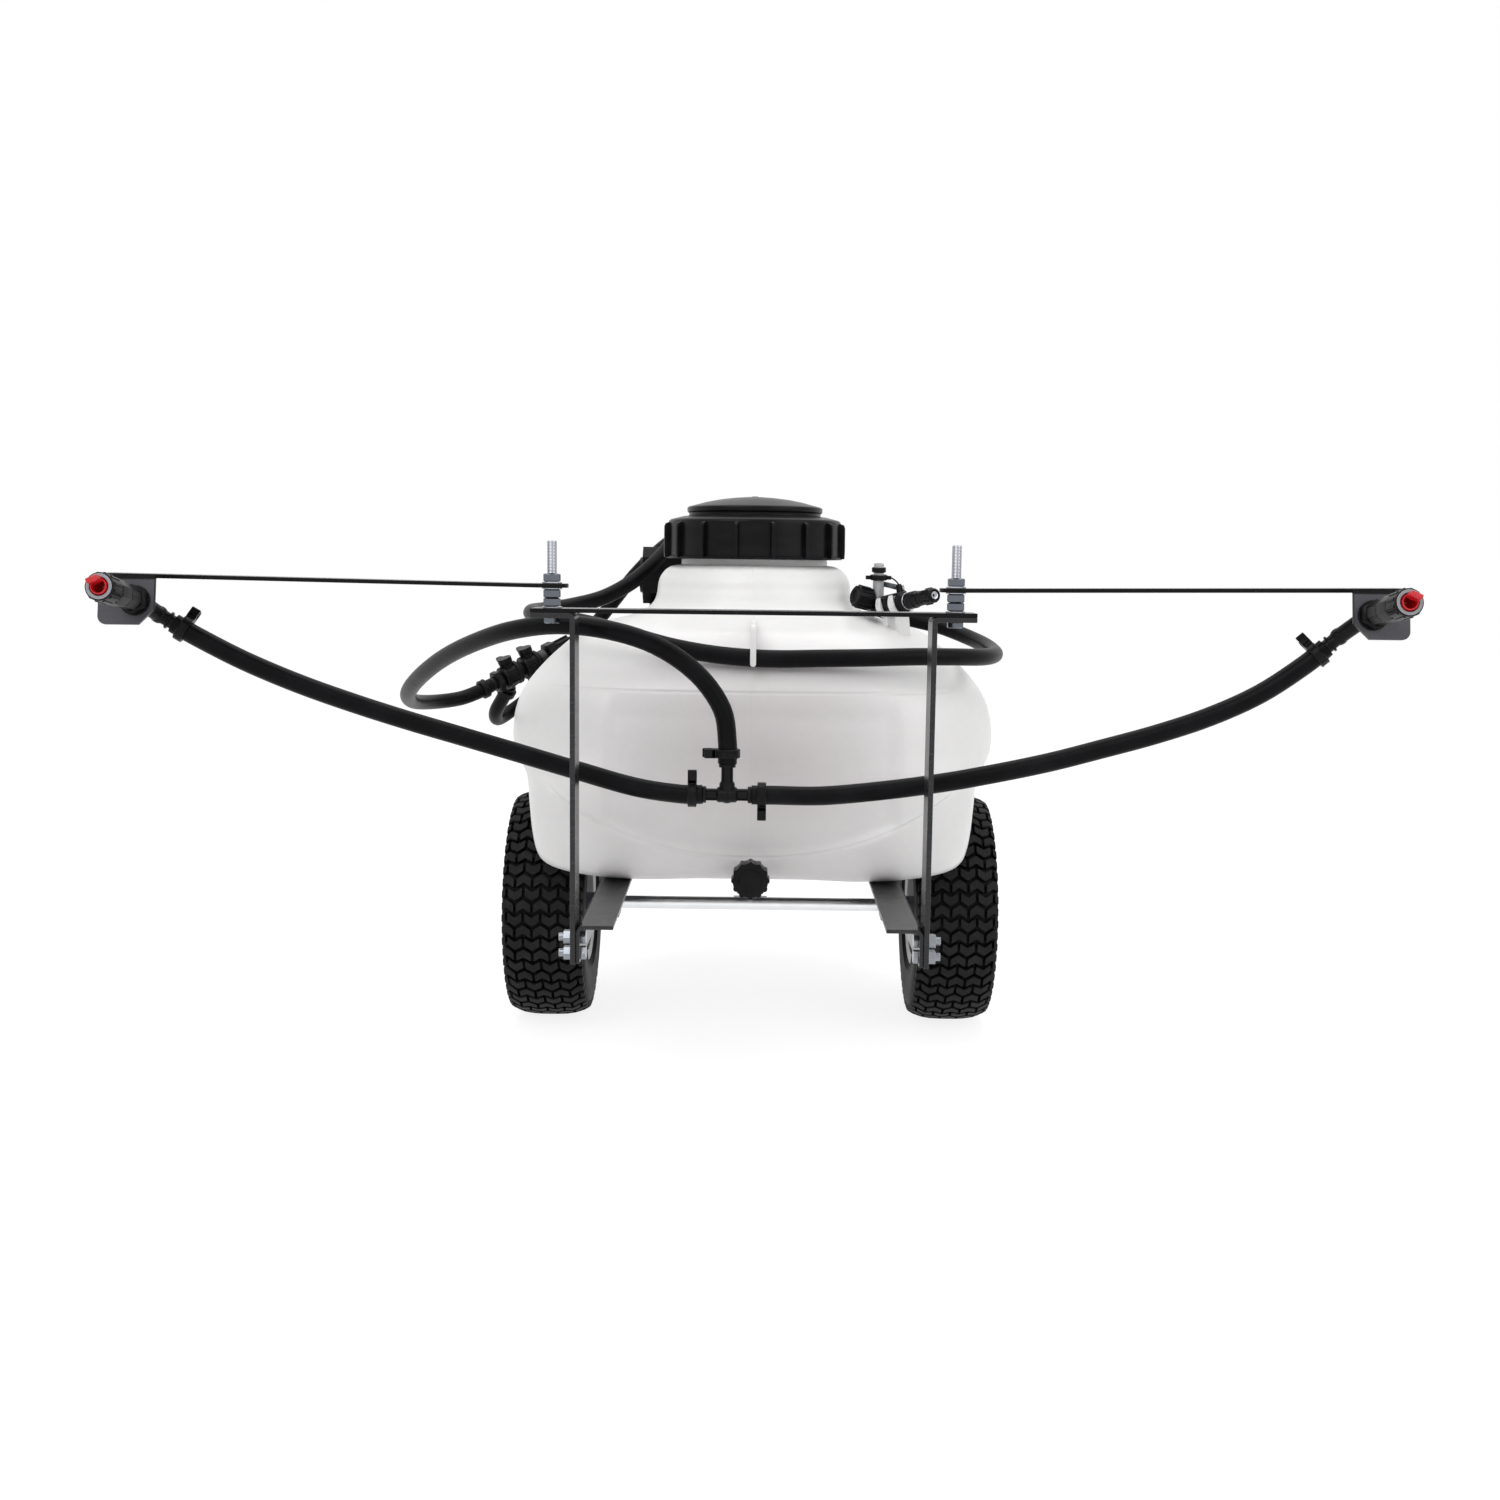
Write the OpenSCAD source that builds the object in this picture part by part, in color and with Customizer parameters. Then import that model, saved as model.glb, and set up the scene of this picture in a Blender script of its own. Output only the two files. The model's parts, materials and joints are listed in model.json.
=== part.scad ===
// Tow-behind sprayer cart: a moulded tank on two rails, with a folding two-nozzle boom at the rear.
// Lengths are in millimetres. +X is the right side seen from behind, +Y the travel direction, +Z up.
// Modules are drawn with Y = 0 over the wheel axle and Z = 0 on the ground; from_axle() then moves
// them so that the origin is on the ground at the middle of the cart's footprint.

/* [Wheels] */
// Overall diameter of the turf tyre
tyre_d = 280; // [260:5:320]
// Width of the tyre
tyre_w = 98; // [80:1:110]
// Bead diameter of the rim
rim_d = 127; // [100:1:150]
// Distance between the two tyre centres
track = 490; // [470:5:560]
// Diameter of the axle bar
axle_d = 16; // [12:1:20]
// Length of the wheel hub
hub_len = 70; // [50:1:80]

/* [Frame] */
// Height of the rail tops, which carry the tank
rail_top = 210; // [190:1:240]
// Half distance between the outer faces of the rails
rail_half = 171; // [165:1:176]
// Width of each flange of the rails
rail_flange = 38; // [30:1:45]
// Thickness of the formed rails
rail_t = 4; // [3:0.5:6]
// Rear end of the rails behind the axle
rail_rear = 435; // [400:5:480]
// Front end of the rails ahead of the axle
rail_front = 340; // [300:5:400]
// Side of the square drawbar tube
drawbar_side = 32; // [25:1:40]
// Wall of the drawbar tube
drawbar_wall = 2.5; // [2:0.5:4]
// Distance from the axle to the hitch pin hole
hitch_reach = 830; // [780:10:950]
// Diameter of the hitch pin hole
hitch_hole_d = 17; // [13:0.5:20]

/* [Boom] */
// Height of the upper face of the crossbar
crossbar_top = 520; // [480:5:560]
// Half distance between the two boom pivots
pivot_half = 195; // [185:1:205]
// Diameter of the pivot bolts
pivot_d = 9.5; // [8:0.5:12]
// Length of a boom arm from its pivot to its outer end
arm_len = 430; // [350:1:500]
// Depth of the flat bars of the boom
bar_depth = 38; // [30:1:45]
// Thickness of the crossbar and the arms
bar_t = 4; // [3:0.5:6]
// Thickness of the two uprights
upright_t = 5; // [4:0.5:8]
// Width of the nozzle tab at the end of an arm
tab_w = 54; // [48:1:70]
// Height of the nozzle tab
tab_h = 49; // [44:1:60]
// Upward tilt of the nozzles
nozzle_tilt = 10; // [0:1:15]

/* [Tank] */
// Widest width of the tank
tank_w = 586; // [560:2:620]
// Length of the tank
tank_len = 490; // [470:2:510]
// Height of the tank body up to the foot of its neck
tank_h = 352; // [340:2:400]
// Wall of the tank
tank_wall = 5; // [4:0.5:7]
// Outer diameter of the neck under the lid
neck_d = 178; // [170:1:190]
// Gap between a tyre and its wheel arch in the tank
arch_gap = 18; // [14:1:24]
// Outer diameter of the screw lid over its ribs
lid_d = 223; // [215:1:240]
// Height of the ribbed skirt of the lid
lid_h = 48; // [40:1:60]
// Number of ribs round the lid
lid_ribs = 16; // [12:1:24]

/* [Hoses] */
// Outer diameter of the hoses
hose_d = 19.5; // [18:0.5:20]

/* [Hidden] */
$fn = 48;

// Clearances, all radial or per side
running = 0.05;         // shaft in a hole
loose = 0.3;            // neighbours on different bodies
push = 0.02;            // pieces of one body that sit in each other

// Colours
black_plastic = "#17181a";
frame_grey = "#3b3e42";
zinc = "#c6cacf";
tank_white = "#f1f1ee";
rubber = "#1d1e20";
signal_red = "#c8141c";

// Frame heights and the boom line
wheel_r = tyre_d / 2;
boom_y = -420;                          // centre line of uprights, crossbar and arms
upright_foot = rail_top - rail_flange;
crossbar_z = crossbar_top - bar_t;      // underside of the crossbar
flange_z = crossbar_z - upright_t;      // underside of the upright's bent top
upright_out = rail_half + upright_t;
crossbar_half = pivot_half + 19;

// Pivot stack, from the crossbar upwards
washer_t = 1.5;
spacer_nut_h = 8.2;
nut_h = 8;
arm_z = crossbar_top + 2 * washer_t + 2 * spacer_nut_h + 0.1;   // underside of an arm
pivot_top = arm_z + 45;

// Boom arm end and nozzle
arm_rise = 0.75;                        // degrees that an arm climbs towards its end
arm_bend_at = 25;                       // where the climb starts, from the pivot
tab_x = arm_len - tab_w / 2;            // centre of the tab, from the pivot
tab_top = arm_z + bar_t + (tab_x - arm_bend_at) * sin(arm_rise);
tab_y = boom_y - bar_depth / 2;         // rear face of the tab at its top
nozzle_x = -9;                          // nozzle axis from the middle of the tab
nozzle_drop = 26;                       // nozzle axis below the top of the tab
nozzle_hole_r = 8;
nozzle_len = 98;                        // from the tab to the end of the spray tip
stem_in = 22;                           // how far the nozzle's stem reaches in front of the tab

// Tank: height above the rails, half width, half length and squareness of each level,
// as shares of the full size where they follow it
tank_z = rail_top;
neck_r = neck_d / 2;
neck_top = tank_z + tank_h + 34;
collar_r = neck_r + 29;                 // round step of the tank under the neck
tank_levels = [
    [0.000, tank_w * 0.312, tank_len * 0.392, 4.8],
    [0.012, tank_w * 0.346, tank_len * 0.432, 5.4],
    [0.034, tank_w * 0.382, tank_len * 0.464, 6.2],
    [0.065, tank_w * 0.404, tank_len * 0.482, 6.6],
    [0.140, tank_w * 0.418, tank_len * 0.491, 6.4],
    [0.235, tank_w * 0.436, tank_len * 0.495, 5.6],
    [0.300, tank_w * 0.472, tank_len * 0.498, 4.8],
    [0.370, tank_w * 0.494, tank_len * 0.500, 4.2],
    [0.440, tank_w * 0.500, tank_len * 0.500, 3.9],
    [0.510, tank_w * 0.496, tank_len * 0.495, 3.6],
    [0.580, tank_w * 0.477, tank_len * 0.482, 3.4],
    [0.650, tank_w * 0.443, tank_len * 0.455, 3.1],
    [0.715, tank_w * 0.400, tank_len * 0.416, 2.8],
    [0.775, tank_w * 0.352, tank_len * 0.366, 2.5],
    [0.802, tank_w * 0.308, tank_len * 0.330, 2.3],
    [0.826, tank_w * 0.252, tank_len * 0.284, 2.15],
    [0.856, collar_r + 9, collar_r + 8, 2.05],
    [0.892, collar_r + 1, collar_r + 1, 2.0],
    [0.945, collar_r - 1, collar_r - 1, 2.0],
    [0.974, collar_r - 7, collar_r - 7, 2.0],
    [0.991, collar_r - 14, collar_r - 14, 2.0],
    [1.000, neck_r + 7, neck_r + 7, 2.0]
];
tank_sides = 40;
arch_r = wheel_r + arch_gap;
arch_x = track / 2 - tyre_w / 2 - 12;
pad_top = tank_z + 282;                 // level of the moulded pump pad
pad_x = [-160, 60];
pad_y = [140, 290];
insert_xy = [153, 165];                 // moulded-in inserts for the tank bolts
drain_z = tank_z + 12;
drain_r = 16;
drain_y = -(tank_len / 2 + 17);         // outer end of the drain spout

// Lid
lid_bottom = tank_z + tank_h + 7;
lid_r = lid_d / 2;

// Drawbar and stand
drawbar_top = rail_top - 2 * rail_t;
drawbar_z = drawbar_top - drawbar_side;
drawbar_front = hitch_reach - 20;
clevis_t = 6;
clevis_half = 25;
stand_y = 655;
stand_pivot_z = drawbar_z - 18;
stand_side = 20;
stand_bolt_d = 10;

// The two ends of the footprint and the shift of the origin
front_y = hitch_reach + clevis_half;
rear_y = tab_y - nozzle_drop * sin(nozzle_tilt) - nozzle_len * cos(nozzle_tilt);
mid_y = (front_y + rear_y) / 2;

// Hose routes, from fitting to fitting
hose_r = hose_d / 2;
hose_sides = 10;
tee_pos = [-25, -355, 330];
supply_route = [
    [-25, -355, 362], [-25, -355, 382], [-31, -356, 418], [-57, -359, 454], [-98, -364, 482],
    [-146, -367, 497], [-198, -354, 501], [-250, -318, 493], [-298, -262, 477], [-342, -196, 457],
    [-380, -126, 434], [-410, -56, 412], [-430, 18, 394], [-437, 90, 381], [-426, 152, 375],
    [-399, 195, 376], [-376, 211, 384], [-361, 222, 392]
];
boom_left_route = [
    [-50, -355, 330], [-72, -355, 330], [-120, -355, 337], [-183, -358, 355], [-240, -362, 372],
    [-294, -366, 388], [-344, -371, 403], [-396, -377, 420], [-450, -385, 440], [-502, -393, 463],
    [-547, -399, 487], [-568, -402, 500]
];
boom_right_route = [
    [0, -355, 330], [22, -355, 330], [72, -355, 330], [130, -357, 336], [190, -360, 345],
    [245, -364, 356], [300, -369, 369], [352, -374, 384], [404, -380, 400], [455, -386, 419],
    [502, -393, 443], [543, -399, 473], [561, -402, 490]
];
gun_route = [
    [150, 12, 517], [148, 33, 517], [152, 70, 512], [172, 98, 503], [205, 106, 494],
    [240, 92, 486], [270, 58, 475], [286, 10, 467], [289, -42, 462], [282, -96, 461],
    [262, -142, 461], [226, -178, 463], [180, -201, 464], [128, -214, 463], [74, -219, 462],
    [20, -220, 461], [-34, -219, 464], [-86, -218, 472], [-134, -212, 484], [-180, -196, 495],
    [-222, -166, 501], [-252, -122, 503], [-262, -70, 504], [-252, -18, 505], [-226, 28, 509],
    [-190, 64, 519], [-154, 92, 540], [-124, 118, 568], [-106, 146, 592], [-102, 174, 600],
    [-102, 195, 600]
];
feed_route = [
    [-340, 258, 389], [-351, 269, 371], [-364, 288, 350], [-366, 316, 337], [-352, 342, 345],
    [-318, 358, 372], [-280, 362, 412], [-244, 362, 456], [-208, 360, 500], [-172, 352, 545],
    [-136, 332, 580], [-110, 298, 598], [-102, 276, 600], [-102, 258, 600]
];

// Manifold: its hose end, and the way it points
manifold_pos = supply_route[len(supply_route) - 1];
manifold_dir = unit(manifold_pos - supply_route[len(supply_route) - 2]);
manifold_yaw = atan2(manifold_dir[1], manifold_dir[0]);
manifold_tilt = asin(manifold_dir[2]);
manifold_len = 112;
lever_at = [34, 68];                    // the two valve stems along the manifold

// Pump on its pad, lying along X
pump_x = [-150, 34];
pump_y = 226;
pump_z = pad_top + 54;
pump_feet_h = 8;
outlet_pos = [-102, 228, 600];
pickup_xy = [-112, 160];

// Spray gun in its clips on the right shoulder
gun_pos = [156, -74, 516];              // the valve body
gun_yaw = -60;                          // the barrel points back and outwards
gun_rise = 9;

// ---------------------------------------------------------------- helpers

module from_axle() { translate([0, -mid_y, 0]) children(); }

module on_both_sides() {
    children();
    mirror([1, 0, 0]) children();
}

// A round bar from point a to point b
module rod(a, b, r) {
    d = b - a;
    long = norm(d);
    translate(a)
        rotate([0, acos(d[2] / long), atan2(d[1], d[0])])
            cylinder(h = long, r = r);
}

module hex(across, h) { cylinder(h = h, d = across / cos(30), $fn = 6); }

// Hexagon bolt standing on its head: the head's underside is at z = 0, the shank points up
module bolt(d, long) {
    translate([0, 0, -0.62 * d]) hex(1.55 * d, 0.62 * d);
    cylinder(h = long, r = d / 2);
}

module nut(d, h) {
    difference() {
        hex(1.6 * d, h);
        translate([0, 0, -1]) cylinder(h = h + 2, r = d / 2 + push);
    }
}

module washer(d) {
    difference() {
        cylinder(h = washer_t, r = 0.98 * d);
        translate([0, 0, -1]) cylinder(h = washer_t + 2, r = d / 2 + push);
    }
}

// Straight hose tail on the end of a route, where next is the route's point beside that end
module stub(end, next, long, r) { rod(end + push * unit(end - next), end + long * unit(end - next), r); }
function stub_root(end, next, long) = end + long * unit(end - next);

// Band clamp round the Z axis, with the two jaws that a pair of pliers closes
clamp_w = 9;
clamp_t = 3;
module hose_clamp() {
    inner = hose_r + loose + 0.1;
    difference() {
        union() {
            cylinder(h = clamp_w, r = inner + clamp_t);
            for (s = [-1, 1])
                translate([s * 5.5 - 2, inner + 0.5, 0]) cube([4, 15, clamp_w]);
            translate([-7.5, inner + 1, 0]) cube([15, 5, clamp_w]);
        }
        translate([0, 0, -1]) cylinder(h = clamp_w + 2, r = inner);
    }
}

// Places a child that stands on the XY plane at point a, with +Z towards point b
module aim(a, b, turn = 0) {
    d = b - a;
    translate(a)
        rotate([0, acos(d[2] / norm(d)), atan2(d[1], d[0])])
            rotate([0, 0, turn]) children();
}

// Sweeps a round tube along a route, with one ring of points at each point of the route
function unit(v) = v / norm(v);
function heading(p, i) =
    i == 0 ? unit(p[1] - p[0])
    : i == len(p) - 1 ? unit(p[i] - p[i - 1])
    : unit(unit(p[i + 1] - p[i]) + unit(p[i] - p[i - 1]));
function square_to(v, t) = unit(v - (v * t) * t);
function side_axes(p, i, last) =
    i == len(p) ? []
    : let(s = square_to(last, heading(p, i))) concat([s], side_axes(p, i + 1, s));
module hose(p, r = hose_r, sides = hose_sides) {
    t0 = heading(p, 0);
    first = abs(t0[2]) < 0.8 ? [0, 0, 1] : [1, 0, 0];
    s = side_axes(p, 0, first);
    points = [
        for (i = [0 : len(p) - 1])
            let(t = heading(p, i), u = s[i], v = cross(t, u))
                for (k = [0 : sides - 1])
                    p[i] + r * (cos(360 * k / sides) * u + sin(360 * k / sides) * v)
    ];
    rings = len(p);
    walls = [
        for (i = [0 : rings - 2], k = [0 : sides - 1])
            let(a = i * sides + k, b = i * sides + (k + 1) % sides)
                each [[a, a + sides, b], [b, a + sides, b + sides]]
    ];
    ends = [
        [for (k = [0 : sides - 1]) k],
        [for (k = [sides - 1 : -1 : 0]) (rings - 1) * sides + k]
    ];
    polyhedron(points, concat(walls, ends), convexity = 6);
}

// ---------------------------------------------------------------- tank

// One level of the tank as a closed loop of points, drawn in by the wall
function level_loop(l, inset) =
    [for (k = [0 : tank_sides - 1])
        let(a = 360 * k / tank_sides, c = cos(a), s = sin(a), n = l[3],
            r = 1 / pow(pow(abs(c) / (l[1] - inset), n) + pow(abs(s) / (l[2] - inset), n), 1 / n))
            [r * c, r * s]];
function level_z(l, inset) = tank_z + inset + l[0] * (tank_h - 2 * inset);

module tank_form(inset = 0) {
    loops = [for (l = tank_levels) [for (q = level_loop(l, inset)) [q[0], q[1], level_z(l, inset)]]];
    n = tank_sides;
    rows = len(loops);
    walls = [
        for (i = [0 : rows - 2], k = [0 : n - 1])
            let(a = i * n + k, b = i * n + (k + 1) % n)
                each [[a, a + n, b], [b, a + n, b + n]]
    ];
    ends = [
        [for (k = [0 : n - 1]) k],
        [for (k = [n - 1 : -1 : 0]) (rows - 1) * n + k]
    ];
    polyhedron([for (l = loops) each l], concat(walls, ends), convexity = 6);
}

module wheel_arches(extra = 0) {
    for (s = [-1, 1])
        translate([s * (arch_x - extra + 100), 0, wheel_r])
            rotate([0, 90, 0])
                cylinder(h = 200, r = arch_r + extra, center = true);
}

module pump_pad(extra = 0) {
    translate([pad_x[0] + extra, 0, 0])
        rotate([90, 0, 90])
            linear_extrude(pad_x[1] - pad_x[0] - 2 * extra)
                polygon([
                    [pad_y[0], pad_top - extra], [pad_y[1] - 16 - extra, pad_top - extra],
                    [pad_y[1] - extra, pad_top - 14 - extra], [tank_len / 2 - 8, tank_z + 190],
                    [pad_y[0], tank_z + 190]
                ]);
}

module tank() {
    color(tank_white) from_axle() difference() {
        union() {
            tank_form();
            pump_pad();
            translate([0, 0, tank_z + tank_h - 2]) cylinder(h = neck_top - tank_z - tank_h + 2, r = neck_r);
            translate([0, drain_y, drain_z]) rotate([-90, 0, 0]) cylinder(h = 60, r = drain_r);
        }
        wheel_arches();
        difference() {
            tank_form(tank_wall);
            wheel_arches(tank_wall);
            for (x = [-1, 1], y = [-1, 1])
                translate([x * insert_xy[0], y * insert_xy[1], tank_z]) cylinder(h = 22, r = 13);
        }
        translate([0, 0, tank_z + tank_h - 20]) cylinder(h = 60, r = neck_r - tank_wall);
        translate([0, drain_y - 1, drain_z]) rotate([-90, 0, 0]) cylinder(h = 60, r = drain_r - 5);
        for (x = [-1, 1], y = [-1, 1])
            translate([x * insert_xy[0], y * insert_xy[1], tank_z - 1]) cylinder(h = 16, r = 4 + push);
        translate([pickup_xy[0], pickup_xy[1], pad_top - 90]) cylinder(h = 100, r = 9 + push);
    }
}

// White hook of the rear shoulder: it reaches out over the gun's hose and hangs down behind it
hook_w = 6.5;
hook_t = 5;
module hose_hook() {
    run = gun_route[15];
    reach = hose_r + 1;                 // clear space round the hose's middle
    inner = run[1] - reach;
    underside = run[2] + reach + 7;
    top = underside + 22;
    color(tank_white) from_axle() {
        difference() {
            translate([-hook_w / 2, 0, 0]) rotate([90, 0, 90]) linear_extrude(hook_w)
                polygon([
                    [inner - hook_t, run[2] - 5], [inner, run[2] - 5], [inner, underside - 6],
                    [inner + 6, underside], [inner + 110, underside], [inner + 110, top],
                    [inner - hook_t + 9, top], [inner - hook_t + 2.5, top - 3], [inner - hook_t, top - 9]
                ]);
            tank_form();
        }
        translate([0, inner, run[2] - 5]) rotate([90, 0, 0]) cylinder(h = hook_t, r = hook_w / 2);
    }
}

module tank_bolts() {
    color(zinc) from_axle()
        for (x = [-1, 1], y = [-1, 1])
            translate([x * insert_xy[0], y * insert_xy[1], rail_top - rail_t])
                bolt(8, rail_t + 12);
}

module lid() {
    skirt_r = lid_r - 6;
    dome_r = lid_r * 0.73;
    top = lid_bottom + lid_h;
    color(black_plastic) from_axle() {
        rotate_extrude($fn = 96)
            polygon([
                [neck_r + running, lid_bottom], [skirt_r, lid_bottom], [skirt_r, top - 3],
                [skirt_r - 3, top], [dome_r + 5, top + 3], [dome_r - 2, top + 4], [dome_r - 2, top + 7],
                [dome_r, top + 8.5], [dome_r, top + 13], [dome_r - 2, top + 15.5], [dome_r * 0.8, top + 20],
                [dome_r * 0.55, top + 24.5], [dome_r * 0.25, top + 27.3], [0, top + 28],
                [0, neck_top + 3], [neck_r + running, neck_top + 3]
            ]);
        for (i = [0 : lid_ribs - 1])
            rotate([0, 0, 360 * (i + 0.5) / lid_ribs])
                translate([skirt_r - 1, -2.5, lid_bottom]) cube([7, 5, lid_h - 4]);
    }
}

module lid_gasket() {
    color(rubber) from_axle() translate([0, 0, neck_top])
        difference() {
            cylinder(h = 3 - push, r = neck_r, $fn = 72);
            translate([0, 0, -1]) cylinder(h = 5, r = neck_r - tank_wall, $fn = 72);
        }
}

module drain_cap() {
    cap_r = drain_r + 5;
    cap_h = 24;
    color(black_plastic) from_axle() translate([0, drain_y - 4, drain_z]) rotate([-90, 0, 0]) difference() {
        union() {
            cylinder(h = cap_h, r = cap_r - 1.5);
            for (i = [0 : 11]) rotate([0, 0, 30 * i])
                translate([cap_r - 3, -1.6, 0]) cube([3, 3.2, cap_h]);
        }
        translate([0, 0, 3.5]) cylinder(h = cap_h, r = drain_r + running);
    }
}

module drain_gasket() {
    color(rubber) from_axle() translate([0, drain_y - 0.45, drain_z]) rotate([-90, 0, 0])
        cylinder(h = 0.4, r = drain_r - 1);
}

// ---------------------------------------------------------------- frame

// Formed angle: a level flange that points inwards and an outer flange that hangs down
module rail() {
    bend = 2 * rail_t;
    difference() {
        translate([0, rail_front, 0]) rotate([90, 0, 0])
            linear_extrude(rail_front + rail_rear)
                difference() {
                    union() {
                        translate([rail_half - rail_flange + 1, rail_top - rail_t])
                            square([rail_flange - bend - 1, rail_t]);
                        translate([rail_half - rail_t, rail_top - rail_flange])
                            square([rail_t, rail_flange - bend]);
                        intersection() {
                            translate([rail_half - bend, rail_top - bend]) circle(r = bend);
                            translate([rail_half - bend, rail_top - bend]) square(bend);
                        }
                    }
                    translate([rail_half - bend, rail_top - bend]) circle(r = bend - rail_t);
                }
        for (y = [-1, 1])
            translate([insert_xy[0], y * insert_xy[1], rail_top - 10]) cylinder(h = 20, r = 4 + 2 * push);
        for (y = cross_plate_y)
            translate([insert_xy[0], y, rail_top - 10]) cylinder(h = 20, r = 4 + 2 * push);
        for (z = upright_bolt_z)
            translate([rail_half - 10, boom_y, z]) rotate([0, 90, 0]) cylinder(h = 20, r = 4 + 2 * push);
        translate([rail_half - 10, bracket_post_y, upright_bolt_z[1]]) rotate([0, 90, 0]) cylinder(h = 20, r = 4 + 2 * push);
        for (y = [-1, 1])
            translate([rail_half - 10, y * axle_bolt_y, axle_bolt_z]) rotate([0, 90, 0]) cylinder(h = 20, r = 4 + 2 * push);
    }
}
cross_plate_y = [0, 300];
upright_bolt_z = [rail_top - 2 * rail_t - 22.4, rail_top - 2 * rail_t - 6.4];
bracket_post_y = 318;
axle_bolt_y = 22;
axle_bolt_z = rail_top - 20;

module rail_left() { color(frame_grey) from_axle() mirror([1, 0, 0]) rail(); }
module rail_right() { color(frame_grey) from_axle() rail(); }

module axle() {
    half = track / 2 + hub_len / 2 + 8;
    color(zinc) from_axle() translate([-half, 0, wheel_r]) rotate([0, 90, 0]) difference() {
        cylinder(h = 2 * half, r = axle_d / 2);
        for (z = [4, 2 * half - 4])
            translate([0, 0, z]) rotate([90, 0, 0]) cylinder(h = axle_d + 2, r = 1.6 + push, center = true);
    }
}

// A plate inside each rail carries the axle
module axle_brackets() {
    inner = rail_half - 2 * rail_t;
    color(frame_grey) from_axle() on_both_sides() difference() {
        translate([inner, 0, 0]) rotate([90, 0, 90]) linear_extrude(rail_t)
            polygon([
                [-32, rail_top - rail_t - 6], [32, rail_top - rail_t - 6], [32, rail_top - 36],
                [18, wheel_r - 16], [-18, wheel_r - 16], [-32, rail_top - 36]
            ]);
        translate([inner - 5, 0, wheel_r]) rotate([0, 90, 0]) cylinder(h = 20, r = axle_d / 2 + push);
        for (y = [-1, 1])
            translate([inner - 5, y * axle_bolt_y, axle_bolt_z]) rotate([0, 90, 0]) cylinder(h = 20, r = 4 + 2 * push);
    }
}

// Sleeve inside each wheel, and the washer and split pin outside it
module axle_collars() {
    gap = 0.3;
    hub_in = track / 2 - hub_len / 2;
    hub_out = track / 2 + hub_len / 2;
    color(zinc) from_axle() on_both_sides() translate([0, 0, wheel_r]) rotate([0, 90, 0]) {
        difference() {
            translate([0, 0, rail_half - rail_t]) cylinder(h = hub_in - gap - rail_half + rail_t, r = 12);
            cylinder(h = hub_in + 9, r = axle_d / 2 + push);
        }
        translate([0, 0, hub_out + gap]) washer(axle_d);
        translate([0, 0, hub_out + 4]) rotate([90, 0, 0]) {
            cylinder(h = axle_d + 12, r = 1.6, center = true);
            translate([0, 0, axle_d / 2 + 5]) rotate([90, 0, 0])
                rotate_extrude() translate([3, 0]) circle(r = 1.4, $fn = 16);
        }
    }
}

module cross_plates() {
    color(frame_grey) from_axle()
        for (y = cross_plate_y) difference() {
            translate([-rail_half + rail_t + 6, y - 30, drawbar_top]) cube([2 * (rail_half - rail_t - 6), 60, rail_t]);
            for (x = [-1, 1]) translate([x * insert_xy[0], y, drawbar_top - 5]) cylinder(h = 20, r = 4 + 2 * push);
            for (s = [-1, 1]) translate([0, y + s * 18, drawbar_top - 5]) cylinder(h = 20, r = 4 + 2 * push);
        }
}

// Bolts that hold the cross plates, the drawbar, the axle brackets and the manifold's post
module frame_bolts() {
    color(zinc) from_axle() {
        for (y = cross_plate_y) {
            for (x = [-1, 1]) translate([x * insert_xy[0], y, drawbar_top]) bolt(8, 2 * rail_t - push);
            for (s = [-1, 1]) translate([0, y + s * 18, drawbar_z]) bolt(8, drawbar_side + rail_t);
        }
        on_both_sides()
            for (y = [-1, 1])
                translate([rail_half - 2 * rail_t, y * axle_bolt_y, axle_bolt_z]) rotate([0, 90, 0]) {
                    bolt(8, 2 * rail_t + 10);
                    translate([0, 0, 2 * rail_t]) nut(8, 6.5);
                }
    }
}

module square_tube(side, wall, long) {
    rotate([-90, 0, 0]) linear_extrude(long) difference() {
        square(side, center = true);
        square(side - 2 * wall, center = true);
    }
}

module drawbar() {
    rear = -30;
    color(frame_grey) from_axle() difference() {
        translate([0, rear, drawbar_z + drawbar_side / 2])
            square_tube(drawbar_side, drawbar_wall, drawbar_front - rear);
        for (y = cross_plate_y, s = [-1, 1])
            translate([0, y + s * 18, drawbar_z - 5]) cylinder(h = 50, r = 4 + 2 * push);
        for (y = hitch_bolt_y)
            translate([0, y, drawbar_z - 5]) cylinder(h = 50, r = 5 + 2 * push);
        for (s = [-1, 1])
            translate([0, stand_y + s * 22, drawbar_z - 5]) cylinder(h = 10, r = 3 + 2 * push);
    }
}
hitch_bolt_y = [drawbar_front - 52, drawbar_front - 22];

// Two plates, above and below the drawbar, with the hitch pin hole
module hitch_clevis() {
    half = clevis_half;
    rear = drawbar_front - 72;
    color(frame_grey) from_axle()
        for (z = [drawbar_top, drawbar_z - clevis_t])
            difference() {
                union() {
                    translate([-half, rear, z]) cube([2 * half, hitch_reach - rear, clevis_t]);
                    translate([0, hitch_reach, z]) cylinder(h = clevis_t, r = half);
                }
                translate([0, hitch_reach, z - 1]) cylinder(h = clevis_t + 2, r = hitch_hole_d / 2);
                for (y = hitch_bolt_y) translate([0, y, z - 1]) cylinder(h = clevis_t + 2, r = 5 + 2 * push);
            }
}

module hitch_bolts() {
    color(zinc) from_axle()
        for (y = hitch_bolt_y) translate([0, y, drawbar_z - clevis_t]) {
            bolt(10, drawbar_side + 2 * clevis_t + 12);
            translate([0, 0, drawbar_side + 2 * clevis_t]) nut(10, nut_h);
        }
}

// ---------------------------------------------------------------- parking stand

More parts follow.
